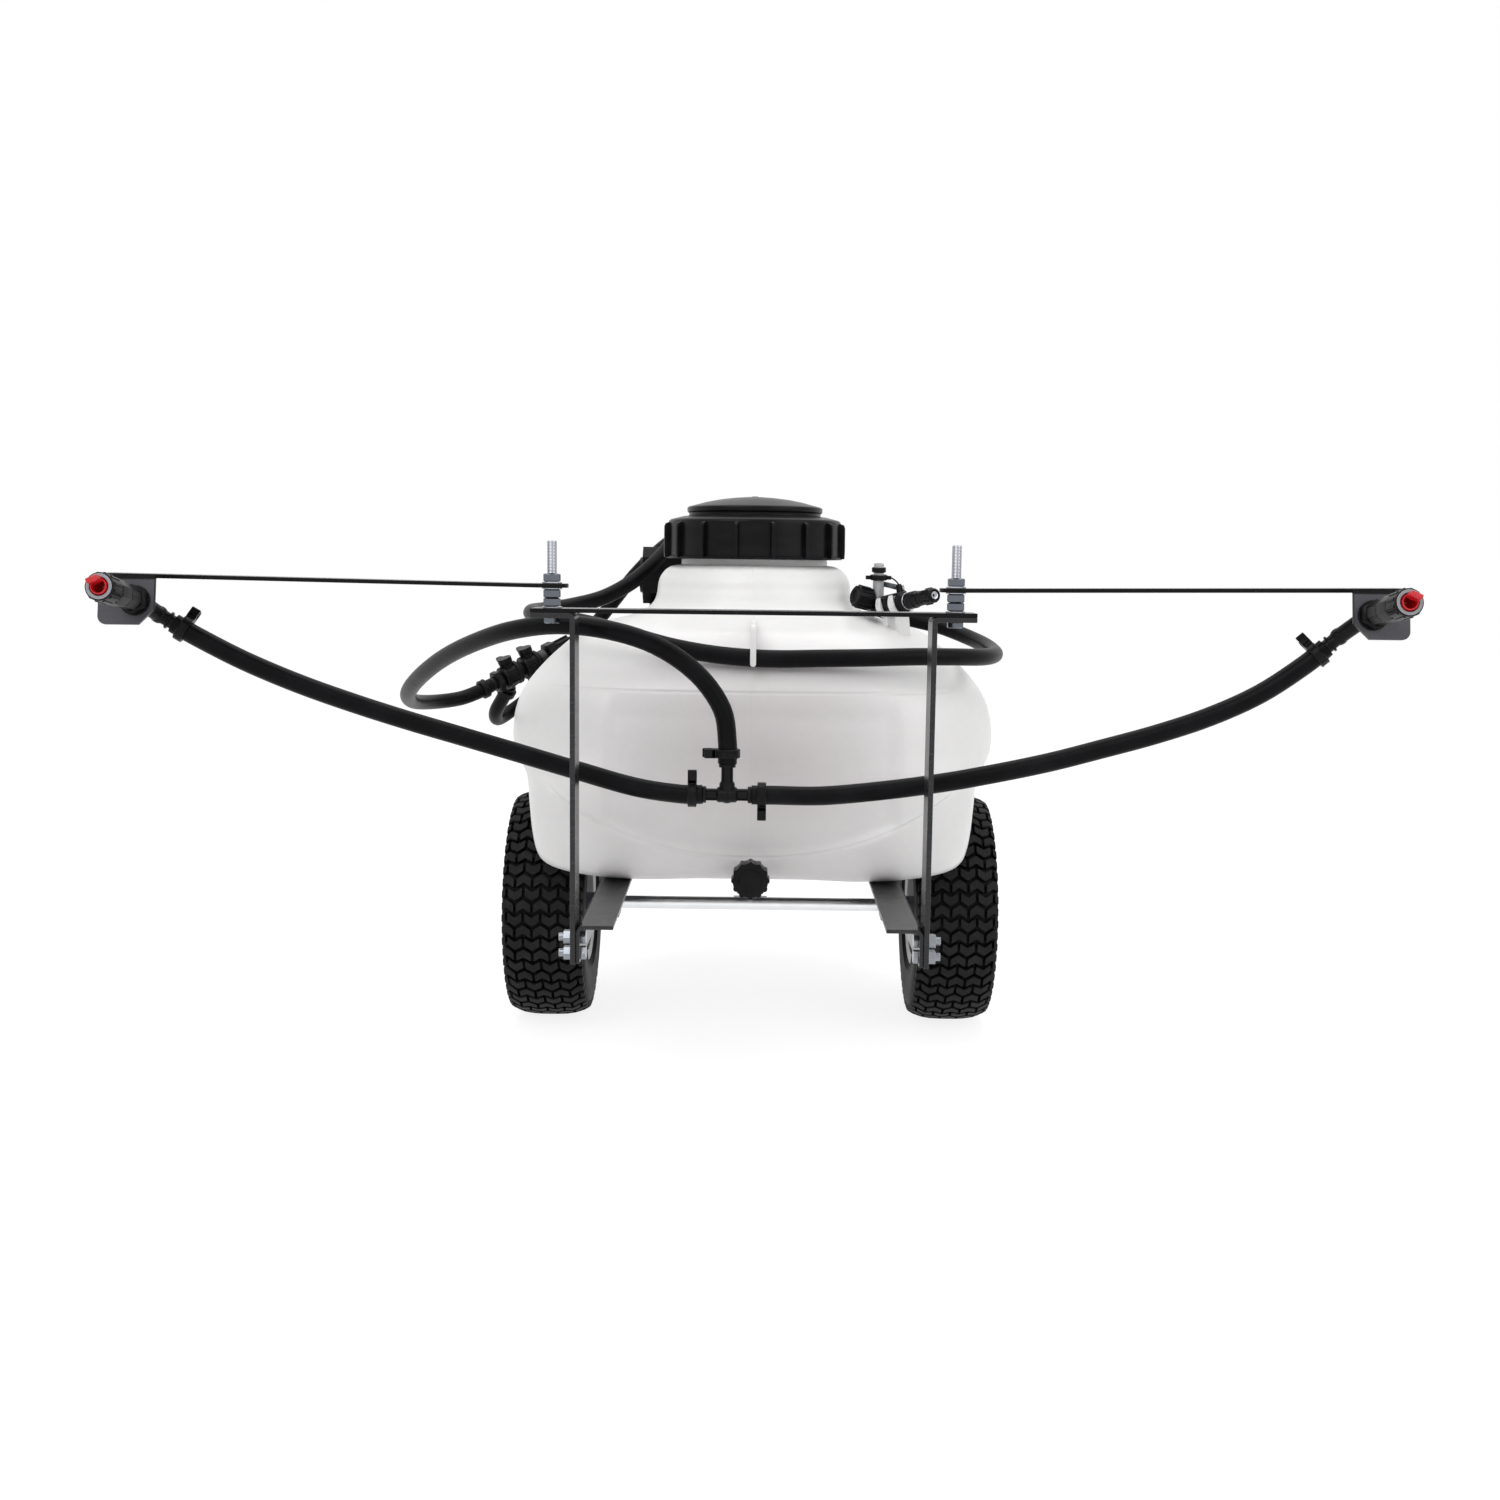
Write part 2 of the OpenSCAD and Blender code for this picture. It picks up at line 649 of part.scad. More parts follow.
module stand_bracket() {
    ear_t = 4;
    inner = stand_side / 2 + loose;
    color(frame_grey) from_axle() difference() {
        union() {
            on_both_sides() translate([inner, 0, 0]) rotate([90, 0, 90]) linear_extrude(ear_t)
                polygon([
                    [stand_y - 16, drawbar_z], [stand_y + 30, drawbar_z], [stand_y + 18, stand_pivot_z - 24],
                    [stand_y - 6, stand_pivot_z - 16], [stand_y - 16, stand_pivot_z - 4]
                ]);
            translate([-inner - ear_t, stand_y - 32, drawbar_z - 2]) cube([2 * (inner + ear_t), 62, 2]);
            translate([-inner, stand_y + stand_side / 2 + loose, stand_pivot_z - 18]) cube([2 * inner, 4, 34]);
        }
        translate([0, stand_y, stand_pivot_z]) rotate([0, 90, 0]) cylinder(h = 60, r = stand_bolt_d / 2 + push, center = true);
        for (s = [-1, 1])
            translate([0, stand_y + s * 22, drawbar_z - 5]) cylinder(h = 10, r = 3 + 2 * push);
    }
}

module stand_leg() {
    plate_t = 4;
    color(frame_grey) from_axle() difference() {
        union() {
            translate([-stand_side / 2, stand_y - stand_side / 2, plate_t])
                cube([stand_side, stand_side, stand_pivot_z - plate_t]);
            translate([0, stand_y, stand_pivot_z]) rotate([0, 90, 0])
                cylinder(h = stand_side, r = stand_side / 2, center = true);
            translate([-28, stand_y - 14, 0]) cube([56, 46, plate_t]);
        }
        translate([0, stand_y, stand_pivot_z]) rotate([0, 90, 0])
            cylinder(h = 60, r = stand_bolt_d / 2 + running, center = true);
    }
}

module stand_bolt() {
    half = stand_side / 2 + loose + 4;
    color(zinc) from_axle() {
        translate([-half, stand_y, stand_pivot_z]) rotate([0, 90, 0]) {
            bolt(stand_bolt_d, 2 * half + 11);
            translate([0, 0, 2 * half]) nut(stand_bolt_d, nut_h);
        }
        for (s = [-1, 1])
            translate([0, stand_y + s * 22, drawbar_z - 2]) bolt(6, 10);
    }
}

// ---------------------------------------------------------------- wheels

tyre_bead_r = rim_d / 2;
tyre_wall = 7;
tread_depth = 4.5;                      // kept over the air space for the tread's grooves

module tyre() {
    color(rubber) from_axle() translate([track / 2, 0, wheel_r]) rotate([0, 90, 0])
        rotate_extrude($fn = 96) difference() {
            tyre_outline();
            tyre_hollow();
        }
}

// Section of the tyre from its beads to the tread
module tyre_outline() {
    hw = tyre_w / 2;
    bead = hw * 0.78;
    polygon([
        [tyre_bead_r, -bead], [tyre_bead_r + 8, -bead - 3], [tyre_bead_r + 22, -hw + 2],
        [tyre_bead_r + 38, -hw], [wheel_r - 24, -hw + 1], [wheel_r - 11, -hw + 4],
        [wheel_r - 4, -hw + 9], [wheel_r - 1, -hw + 18], [wheel_r, -hw + 34],
        [wheel_r, hw - 34], [wheel_r - 1, hw - 18], [wheel_r - 4, hw - 9],
        [wheel_r - 11, hw - 4], [wheel_r - 24, hw - 1], [tyre_bead_r + 38, hw],
        [tyre_bead_r + 22, hw - 2], [tyre_bead_r + 8, bead + 3], [tyre_bead_r, bead]
    ]);
}

// What the air fills inside the tyre
module tyre_hollow() {
    hw = tyre_w / 2;
    bead = hw * 0.78;
    crown = wheel_r - tread_depth - tyre_wall;
    polygon([
        [tyre_bead_r - 1, -bead + tyre_wall], [tyre_bead_r + 24, -hw + 2 + tyre_wall],
        [wheel_r - 26, -hw + 3 + tyre_wall], [crown - 4, -hw + 20],
        [crown, -hw + 40], [crown, hw - 40],
        [crown - 4, hw - 20], [wheel_r - 26, hw - 3 - tyre_wall],
        [tyre_bead_r + 24, hw - 2 - tyre_wall], [tyre_bead_r - 1, bead - tyre_wall]
    ]);
}
module tyre_left() { mirror([1, 0, 0]) tyre(); }
module tyre_right() { tyre(); }

// Pressed steel rim with a drop centre, a dished disc and a welded hub tube
module rim() {
    t = 2.5;
    bead = tyre_w * 0.39;
    hub_r = 17;
    color(zinc) from_axle() translate([track / 2, 0, wheel_r]) rotate([0, 90, 0]) difference() {
        rotate_extrude($fn = 96) {
            polygon([
                [tyre_bead_r - push, -bead], [tyre_bead_r + 7, -bead - 3.5], [tyre_bead_r + 9, -bead - 3.5],
                [tyre_bead_r + 9, -bead - 6], [tyre_bead_r - t, -bead - 4], [tyre_bead_r - t, -bead + 8],
                [tyre_bead_r - 10 - t, -bead + 20], [tyre_bead_r - 10 - t, bead - 20],
                [tyre_bead_r - t, bead - 8], [tyre_bead_r - t, bead + 4], [tyre_bead_r + 9, bead + 6],
                [tyre_bead_r + 9, bead + 3.5], [tyre_bead_r + 7, bead + 3.5], [tyre_bead_r - push, bead],
                [tyre_bead_r - push, bead - 7], [tyre_bead_r - 10, bead - 19], [tyre_bead_r - 10, -bead + 19],
                [tyre_bead_r - push, -bead + 7]
            ]);
            polygon([
                [hub_r - 1, 6], [hub_r + 8, 6], [hub_r + 18, -6], [tyre_bead_r - 11, -6],
                [tyre_bead_r - 11, -6 - t], [hub_r + 16, -6 - t], [hub_r + 6, 6 - t], [hub_r - 1, 6 - t]
            ]);
            translate([bush_r + push, -hub_len / 2 + 2]) square([hub_r - bush_r - push, hub_len - 4]);
        }
        for (i = [0 : 3]) rotate([0, 0, 90 * i + 45]) translate([tyre_bead_r - 24, 0, -20]) cylinder(h = 40, r = 6);
    }
}
bush_r = axle_d / 2 + 3;
module rim_left() { mirror([1, 0, 0]) rim(); }
module rim_right() { rim(); }

// Two flanged plain bearings pressed into the hub
module bushes() {
    color(black_plastic) from_axle() translate([track / 2, 0, wheel_r]) rotate([0, 90, 0])
        for (s = [0, 1]) mirror([0, 0, s]) difference() {
            union() {
                translate([0, 0, hub_len / 2 - 24]) cylinder(h = 22, r = bush_r);
                translate([0, 0, hub_len / 2 - 2]) cylinder(h = 2, r = bush_r + 4);
            }
            cylinder(h = hub_len, r = axle_d / 2 + running);
        }
}
module bushes_left() { mirror([1, 0, 0]) bushes(); }
module bushes_right() { bushes(); }

// ---------------------------------------------------------------- boom frame

// Flat bar that stands outside the rail, with its top bent outwards under the crossbar
module upright() {
    difference() {
        translate([0, boom_y + bar_depth / 2, 0]) rotate([90, 0, 0]) linear_extrude(bar_depth)
            difference() {
                union() {
                    translate([rail_half, upright_foot]) square([upright_t, crossbar_z - upright_foot - 6]);
                    translate([rail_half + 6, flange_z]) square([crossbar_half - rail_half - 6, upright_t]);
                    intersection() {
                        translate([rail_half, crossbar_z - 6]) square(6);
                        translate([rail_half + 6, crossbar_z - 6]) circle(r = 6);
                    }
                }
                translate([rail_half + 6, crossbar_z - 6]) intersection() {
                    circle(r = 1);
                    translate([-1, 0]) square(1);
                }
            }
        translate([pivot_half, boom_y, flange_z - 5]) cylinder(h = 20, r = pivot_d / 2 + push);
        for (z = upright_bolt_z)
            translate([rail_half - 5, boom_y, z]) rotate([0, 90, 0]) cylinder(h = 20, r = 4 + 2 * push);
    }
}
module upright_left() { color(frame_grey) from_axle() mirror([1, 0, 0]) upright(); }
module upright_right() { color(frame_grey) from_axle() upright(); }

module upright_bolts() {
    color(zinc) from_axle() {
        on_both_sides()
            for (z = upright_bolt_z)
                translate([rail_half - rail_t, boom_y, z]) rotate([0, 90, 0]) rotate([0, 0, 30]) {
                    bolt(8, rail_t + upright_t + 13);
                    translate([0, 0, rail_t + upright_t]) washer(8);
                    translate([0, 0, rail_t + upright_t + washer_t]) nut(8, 6.5);
                }
        translate([-rail_half + rail_t, bracket_post_y, upright_bolt_z[1]]) rotate([0, -90, 0]) rotate([0, 0, 30]) {
            bolt(8, rail_t + upright_t + 11);
            translate([0, 0, rail_t + upright_t]) nut(8, 6.5);
        }
    }
}

module crossbar() {
    color(black_plastic) from_axle() difference() {
        translate([-crossbar_half, boom_y - bar_depth / 2, crossbar_z]) cube([2 * crossbar_half, bar_depth, bar_t]);
        on_both_sides() translate([pivot_half, boom_y, crossbar_z - 5]) cylinder(h = 20, r = pivot_d / 2 + push);
    }
}

module pivot_bolts() {
    color(zinc) from_axle() on_both_sides() translate([pivot_half, boom_y, flange_z]) bolt(pivot_d, pivot_top - flange_z);
}

module pivot_nuts() {
    color(zinc) from_axle() on_both_sides() translate([pivot_half, boom_y, crossbar_top]) {
        washer(pivot_d);
        translate([0, 0, washer_t]) nut(pivot_d, spacer_nut_h);
        translate([0, 0, washer_t + spacer_nut_h]) nut(pivot_d, spacer_nut_h);
        translate([0, 0, washer_t + 2 * spacer_nut_h]) washer(pivot_d);
        translate([0, 0, arm_z - crossbar_top + bar_t + 0.1]) washer(pivot_d);
        translate([0, 0, arm_z - crossbar_top + bar_t + 0.1 + washer_t]) nut(pivot_d, nut_h);
    }
}

// ---------------------------------------------------------------- boom arms

// Frame of the nozzle tab: the top of its rear face is at the origin, and its rear face looks along -Y
module at_tab() {
    from_axle() translate([pivot_half + tab_x, tab_y, tab_top]) rotate([-nozzle_tilt, 0, 0]) children();
}

// Flat arm with a round inner end; its outer end is bent down as the nozzle tab
module arm() {
    half = bar_depth / 2;
    corner = 8;
    chamfer = 15;
    color(black_plastic) difference() {
        union() {
            from_axle() translate([pivot_half, boom_y, arm_z]) {
                cylinder(h = bar_t, r = half - 3);
                translate([0, -half, 0]) cube([arm_bend_at, bar_depth, bar_t]);
                translate([arm_bend_at, -half, 0]) rotate([0, -arm_rise, 0])
                    cube([arm_len - arm_bend_at, bar_depth, bar_t]);
            }
            at_tab() translate([0, bar_t, 0]) rotate([90, 0, 0]) linear_extrude(bar_t) {
                polygon([
                    [-tab_w / 2, -bar_t / 2], [-tab_w / 2, chamfer - tab_h], [chamfer - tab_w / 2, -tab_h],
                    [tab_w / 2 - corner, -tab_h], [tab_w / 2, corner - tab_h], [tab_w / 2, -bar_t / 2]
                ]);
                translate([tab_w / 2 - corner, corner - tab_h]) circle(r = corner);
            }
        }
        from_axle() translate([pivot_half, boom_y, arm_z - 5]) cylinder(h = 20, r = pivot_d / 2 + running);
        at_nozzle() cylinder(h = 20, r = nozzle_hole_r, center = true);
    }
}
module arm_left() { mirror([1, 0, 0]) arm(); }
module arm_right() { arm(); }

// Frame of the nozzle: +Z runs back along the spray axis, from the tab's rear face
module at_nozzle() { at_tab() translate([nozzle_x, 0, -nozzle_drop]) rotate([90, 0, 0]) children(); }
function nozzle_point(z) = [
    pivot_half + tab_x + nozzle_x,
    tab_y - nozzle_drop * sin(nozzle_tilt) - z * cos(nozzle_tilt),
    tab_top - nozzle_drop * cos(nozzle_tilt) + z * sin(nozzle_tilt)
];

// Body through the tab with its locknut, the ribbed cap ring behind it, and the elbow to the hose
module nozzle_body(end, next) {
    root = stub_root(end, next, 16);
    elbow = nozzle_point(-stem_in);
    cap_z = 64;
    color(black_plastic) {
        difference() {
            union() {
                at_nozzle() {
                    translate([0, 0, -stem_in]) cylinder(h = stem_in + 62, r = nozzle_hole_r - push);
                    cylinder(h = 3, r = 14.5);
                    translate([0, 0, 3]) hex(25, 9);
                    translate([0, 0, 12]) cylinder(h = 26, r = 11);
                    translate([0, 0, 38]) cylinder(h = 24, r = 12.5);
                    translate([0, 0, -bar_t - 6]) hex(24, 6);
                }
                from_axle() {
                    translate(elbow) sphere(r = 10, $fn = 32);
                    rod(elbow, root, 8);
                    translate(root) sphere(r = 9, $fn = 32);
                    stub(end, next, 16, 7);
                }
            }
            at_nozzle() translate([0, 0, 30]) cylinder(h = 40, r = 4);
        }
        at_nozzle() translate([0, 0, cap_z]) difference() {
            union() {
                cylinder(h = 22, r = 12.5);
                for (i = [0 : 9]) rotate([0, 0, 36 * i]) translate([11.5, -2, 0]) cube([2.6, 4, 19]);
            }
            translate([0, 0, -1]) cylinder(h = 30, r = 8);
        }
    }
}
module nozzle_body_left() {
    n = len(boom_left_route);
    mirror([1, 0, 0]) nozzle_body(mirrored(boom_left_route[n - 1]), mirrored(boom_left_route[n - 2]));
}
module nozzle_body_right() {
    n = len(boom_right_route);
    nozzle_body(boom_right_route[n - 1], boom_right_route[n - 2]);
}
function mirrored(p) = [-p[0], p[1], p[2]];

// Red flood tip in the cap ring, with its square deflector lip
module nozzle_tip() {
    base = 62 + push;
    color(signal_red) at_nozzle() difference() {
        union() {
            translate([0, 0, base]) cylinder(h = nozzle_len - 10 - base, r = 8 - push);
            translate([-5, 2, nozzle_len - 11]) cube([10, 6, 11]);
        }
        translate([0, 0, base - 1]) cylinder(h = 22, r = 3);
    }
}
module nozzle_tip_left() { mirror([1, 0, 0]) nozzle_tip(); }
module nozzle_tip_right() { nozzle_tip(); }

// Clamp round a hose, a short way in from the route's point i towards point j
module clamp_on(route, i, j, turn = 0) {
    a = route[i];
    b = route[j];
    start = a + 6 * unit(b - a);
    aim(start, start + (b - a), turn) hose_clamp();
}
module nozzle_clamp_left() {
    n = len(boom_left_route);
    color(black_plastic) from_axle() clamp_on(boom_left_route, n - 1, n - 2, 60);
}
module nozzle_clamp_right() {
    n = len(boom_right_route);
    color(black_plastic) from_axle() clamp_on(boom_right_route, n - 1, n - 2, 120);
}

// ---------------------------------------------------------------- tee and hoses

module boom_tee() {
    color(black_plastic) from_axle() {
        rod(boom_left_route[0], boom_right_route[0], 6.5);
        rod(tee_pos, supply_route[0], 6.5);
        translate(tee_pos) sphere(r = 9, $fn = 32);
    }
}

module tee_clamps() {
    color(black_plastic) from_axle() {
        clamp_on(boom_left_route, 0, 1, 90);
        clamp_on(boom_right_route, 0, 1, -90);
        clamp_on(supply_route, 0, 1, 90);
    }
}

module boom_hose_left() { color(rubber) from_axle() hose(boom_left_route); }
module boom_hose_right() { color(rubber) from_axle() hose(boom_right_route); }
module supply_hose() { color(rubber) from_axle() hose(supply_route); }
module gun_hose() { color(rubber) from_axle() hose(gun_route); }
module feed_hose() { color(rubber) from_axle() hose(feed_route); }

// ---------------------------------------------------------------- manifold

stem_top = 19;
clip_at = 88;

// Frame of the manifold: +X runs along it from the boom hose's end
module at_manifold() {
    from_axle() translate(manifold_pos) rotate([0, 0, manifold_yaw]) rotate([0, -manifold_tilt, 0]) children();
}
function manifold_point(x) = manifold_pos + x * manifold_dir;

module manifold() {
    color(black_plastic) {
        at_manifold() {
            translate([push, 0, 0]) rotate([0, 90, 0]) cylinder(h = manifold_len - push, r = 9.5);
            rotate([0, 90, 0]) translate([0, 0, 8]) hex(28, 10);
            for (x = lever_at) translate([x, 0, 0]) {
                rotate([0, 90, 0]) cylinder(h = 26, r = 14.5, center = true);
                for (end = [-10, 10]) translate([end, 0, 0]) rotate([0, 90, 0]) cylinder(h = 6, r = 16.5, center = true);
                cylinder(h = stem_top, r = 9);
                cylinder(h = stem_top + 3.5, r = 4);
            }
            translate([manifold_len - 16, 0, 0]) rotate([0, 90, 0]) hex(32, 16);
            translate([manifold_len - 1, 0, 0]) rotate([0, 90, 0]) cylinder(h = 8, r = 6);
        }
        from_axle() {
            stub(feed_route[0], feed_route[1], 14, 7.5);
            rod(stub_root(feed_route[0], feed_route[1], 12), manifold_point(lever_at[0]), 9);
        }
    }
}

module valve_lever() {
    difference() {
        union() {
            cylinder(h = 7, r = 10);
            translate([0, -4.5, 2]) cube([15, 9, 5]);
            translate([15, 0, 2]) cylinder(h = 5, r = 4.5);
        }
        translate([0, 0, -1]) cylinder(h = 5, r = 4 + running);
    }
}
module boom_valve_lever() {
    color(black_plastic) at_manifold() translate([lever_at[0], 0, stem_top + loose]) rotate([0, 0, 90]) valve_lever();
}
module bypass_valve_lever() {
    color(black_plastic) at_manifold() translate([lever_at[1], 0, stem_top + loose]) rotate([0, 0, 90]) valve_lever();
}
module pressure_knob() {
    color(black_plastic) at_manifold() translate([manifold_len + loose, 0, 0]) rotate([0, 90, 0]) difference() {
        union() {
            cylinder(h = 24, r = 13);
            for (i = [0 : 9]) rotate([0, 0, 36 * i]) translate([12, -1.8, 0]) cube([3, 3.6, 24]);
        }
        translate([0, 0, -1]) cylinder(h = 9, r = 6 + running);
    }
}

// Post on the left rail, an arm out to the manifold, and the clip round the manifold's body
module manifold_bracket() {
    seat = manifold_point(clip_at);
    arm_top = seat[2] - 29;
    color(frame_grey) difference() {
        union() {
            from_axle() {
                translate([-upright_out, bracket_post_y - 15, upright_foot])
                    cube([upright_t, 30, arm_top - upright_foot]);
                translate([seat[0] - 12, bracket_post_y - 15, arm_top - upright_t])
                    cube([-rail_half - seat[0] + 12, 30, upright_t]);
                translate([seat[0] - 12, seat[1] - 12, arm_top - upright_t])
                    cube([24, bracket_post_y - seat[1] + 20, upright_t]);
            }
            at_manifold() translate([clip_at - 5, 0, 0]) {
                rotate([0, 90, 0]) cylinder(h = 10, r = 12.5);
                translate([0, -2, -35]) cube([10, 4, 25]);
            }
        }
        from_axle() translate([-rail_half - 20, bracket_post_y, upright_bolt_z[1]]) rotate([0, 90, 0])
            cylinder(h = 40, r = 4 + 2 * push);
        at_manifold() translate([clip_at - 20, 0, 0]) rotate([0, 90, 0]) cylinder(h = 40, r = 9.5 + push);
    }
}

module manifold_clamps() {
    n = len(supply_route);
    color(black_plastic) from_axle() {
        clamp_on(supply_route, n - 1, n - 2, 200);
        clamp_on(feed_route, 0, 1, 90);
    }
}

// ---------------------------------------------------------------- pump and pickup

module pump() {
    head = 70;
    half = 38;
    corner = 14;
    motor_r = 32;
    bell = 22;
    color(black_plastic) from_axle() {
        translate([pump_x[0], pump_y, pump_z]) rotate([90, 0, 90]) {
            linear_extrude(head) polygon([
                [-half, corner - half], [corner - half, -half], [half - corner, -half], [half, corner - half],
                [half, half - corner], [half - corner, half], [corner - half, half], [-half, half - corner]
            ]);
            translate([0, 0, head]) cylinder(h = pump_x[1] - pump_x[0] - head, r = motor_r);
            translate([0, 0, head]) cylinder(h = 9, r = motor_r + 4);
            translate([0, 0, pump_x[1] - pump_x[0] - bell]) cylinder(h = bell - 5, r = motor_r + 2);
            translate([0, 0, -5]) cylinder(h = 6, r = half - corner);
        }
        translate([pump_x[0] + 10, pump_y - 42, pad_top + pump_feet_h]) cube([pump_x[1] - pump_x[0] - 30, 84, 9]);
        translate([outlet_pos[0], outlet_pos[1], pump_z + 30]) cylinder(h = outlet_pos[2] - pump_z - 30, r = 8);
        rod([outlet_pos[0], gun_route[len(gun_route) - 1][1], outlet_pos[2]], feed_route[len(feed_route) - 1], 7);
    }
}

module pump_feet() {
    color(rubber) from_axle()
        for (x = [pump_x[0] + 24, pump_x[1] - 34], y = [-34, 34])
            translate([x, pump_y + y, pad_top]) cylinder(h = pump_feet_h, r = 9);
}

// Pipe from the bottom of the tank up through the pad and into the pump's side
module pickup_pipe() {
    foot = tank_z + tank_wall + 6;
    color(black_plastic) from_axle() {
        translate([pickup_xy[0], pickup_xy[1], foot]) cylinder(h = pad_top - foot + 2, r = 9);
        translate([pickup_xy[0], pickup_xy[1], foot + 1]) cylinder(h = 40, r = 14);
        translate([pickup_xy[0], pickup_xy[1], pad_top]) hex(32, 12);
        translate([pickup_xy[0], pickup_xy[1], pad_top]) cylinder(h = pump_z - pad_top, r = 8);
        rod([pickup_xy[0], pickup_xy[1], pump_z], [pickup_xy[0], pump_y - 38, pump_z], 8);
        translate([pickup_xy[0], pickup_xy[1], pump_z]) sphere(r = 10, $fn = 32);
    }
}

// ---------------------------------------------------------------- spray gun

// Frame of the gun: +X runs along the barrel towards its tip
module at_gun() {
    from_axle() translate(gun_pos) rotate([0, 0, gun_yaw]) rotate([0, -gun_rise, 0]) children();
}

module gun_body() {
    root = stub_root(gun_route[0], gun_route[1], 14);
    color(black_plastic) {
        at_gun() {
            rotate([0, 90, 0]) cylinder(h = 40, r = 12.5);
            translate([38, 0, 0]) rotate([0, 90, 0]) cylinder(h = gun_barrel - 38, r = 10);
            translate([-18, 0, 0]) rotate([0, 90, 0]) cylinder(h = 20, r = 11);
            translate([trigger_at[0] - 3, -2, 10]) cube([6, 4, 12]);
            translate([trigger_at[0], 0, trigger_at[1]]) rotate([-90, 0, 0]) cylinder(h = 7, r = 1.5);
            translate([gun_barrel - 1, 0, 0]) rotate([0, 90, 0]) cylinder(h = 7, r = 5);
        }
        from_axle() {
            rod(gun_tail, root, 8);
            translate(root) sphere(r = 9.5, $fn = 32);
            stub(gun_route[0], gun_route[1], 14, 7);
        }
    }
}
gun_barrel = 72;                        // end of the barrel, where the tip turns
trigger_at = [29, 17];                  // trigger pivot along the barrel and above it
gun_tail = gun_pos - 10 * [cos(gun_rise) * cos(gun_yaw), cos(gun_rise) * sin(gun_yaw), sin(gun_rise)];

module gun_trigger() {
    color(zinc) at_gun() difference() {
        union() {
            translate([trigger_at[0], 2 + loose, trigger_at[1]]) rotate([-90, 0, 0]) cylinder(h = 3, r = 4.2);
            translate([trigger_at[0], 2 + loose, trigger_at[1]]) rotate([0, 16, 0])
                translate([-44, 0, -3]) cube([44, 3, 6]);
        }
        translate([trigger_at[0], 0, trigger_at[1]]) rotate([-90, 0, 0]) cylinder(h = 10, r = 1.5 + running);
    }
}

module gun_tip() {
    color(black_plastic) at_gun() translate([gun_barrel + loose, 0, 0]) rotate([0, 90, 0]) difference() {
        union() {
            cylinder(h = 26, r = 8.5);
            for (i = [0 : 7]) rotate([0, 0, 45 * i]) translate([7.5, -1.5, 2]) cube([2.2, 3, 14]);
        }
        translate([0, 0, 8]) cylinder(h = 30, r = 3);
        translate([0, 0, -1]) cylinder(h = 8, r = 5 + running);
    }
}

// Two spring clips that hold the gun's barrel on the tank's shoulder
module gun_clips() {
    color(tank_white) difference() {
        at_gun()
            for (x = [2, 27]) translate([x, 0, 0]) difference() {
                union() {
                    rotate([0, 90, 0]) cylinder(h = 9, r = 16.5);
                    translate([0, -7, -70]) cube([9, 14, 58]);
                }
                translate([-1, 0, 0]) rotate([0, 90, 0]) cylinder(h = 12, r = 12.5 + push);
                translate([-1, -14, 5]) cube([12, 28, 20]);
            }
        from_axle() tank_form();
    }
}

tank();
hose_hook();
lid();
lid_gasket();
drain_cap();
drain_gasket();
tank_bolts();
rail_left();
rail_right();
axle();
axle_brackets();
axle_collars();
frame_bolts();
cross_plates();
drawbar();
hitch_clevis();
hitch_bolts();
stand_bracket();
stand_leg();
stand_bolt();
tyre_left();
tyre_right();
rim_left();
rim_right();
bushes_left();
bushes_right();
upright_left();
upright_right();
upright_bolts();
crossbar();
pivot_bolts();
pivot_nuts();
arm_left();
arm_right();
nozzle_body_left();
nozzle_body_right();
nozzle_tip_left();
nozzle_tip_right();
nozzle_clamp_left();
nozzle_clamp_right();
boom_tee();
tee_clamps();
boom_hose_left();
boom_hose_right();
supply_hose();
manifold();
manifold_bracket();
manifold_clamps();
boom_valve_lever();
bypass_valve_lever();
pressure_knob();
feed_hose();
pump();
pump_feet();
pickup_pipe();
gun_hose();
gun_body();
gun_trigger();
gun_tip();
gun_clips();
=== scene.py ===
"""Wheeled sprayer cart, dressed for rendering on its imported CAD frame.

Lengths are in metres and angles in degrees. +X is the cart's right side, +Y its travel direction
and +Z up, with the origin on the ground at the middle of the footprint. Points that are written
from the wheel axle pass through from_axle(). Every piece stands at the origin with its place in its
mesh.
"""

from __future__ import annotations

import json
import logging
import math
from dataclasses import dataclass
from enum import Enum
from typing import Sequence

import bmesh
import bpy
from mathutils import Matrix, Vector

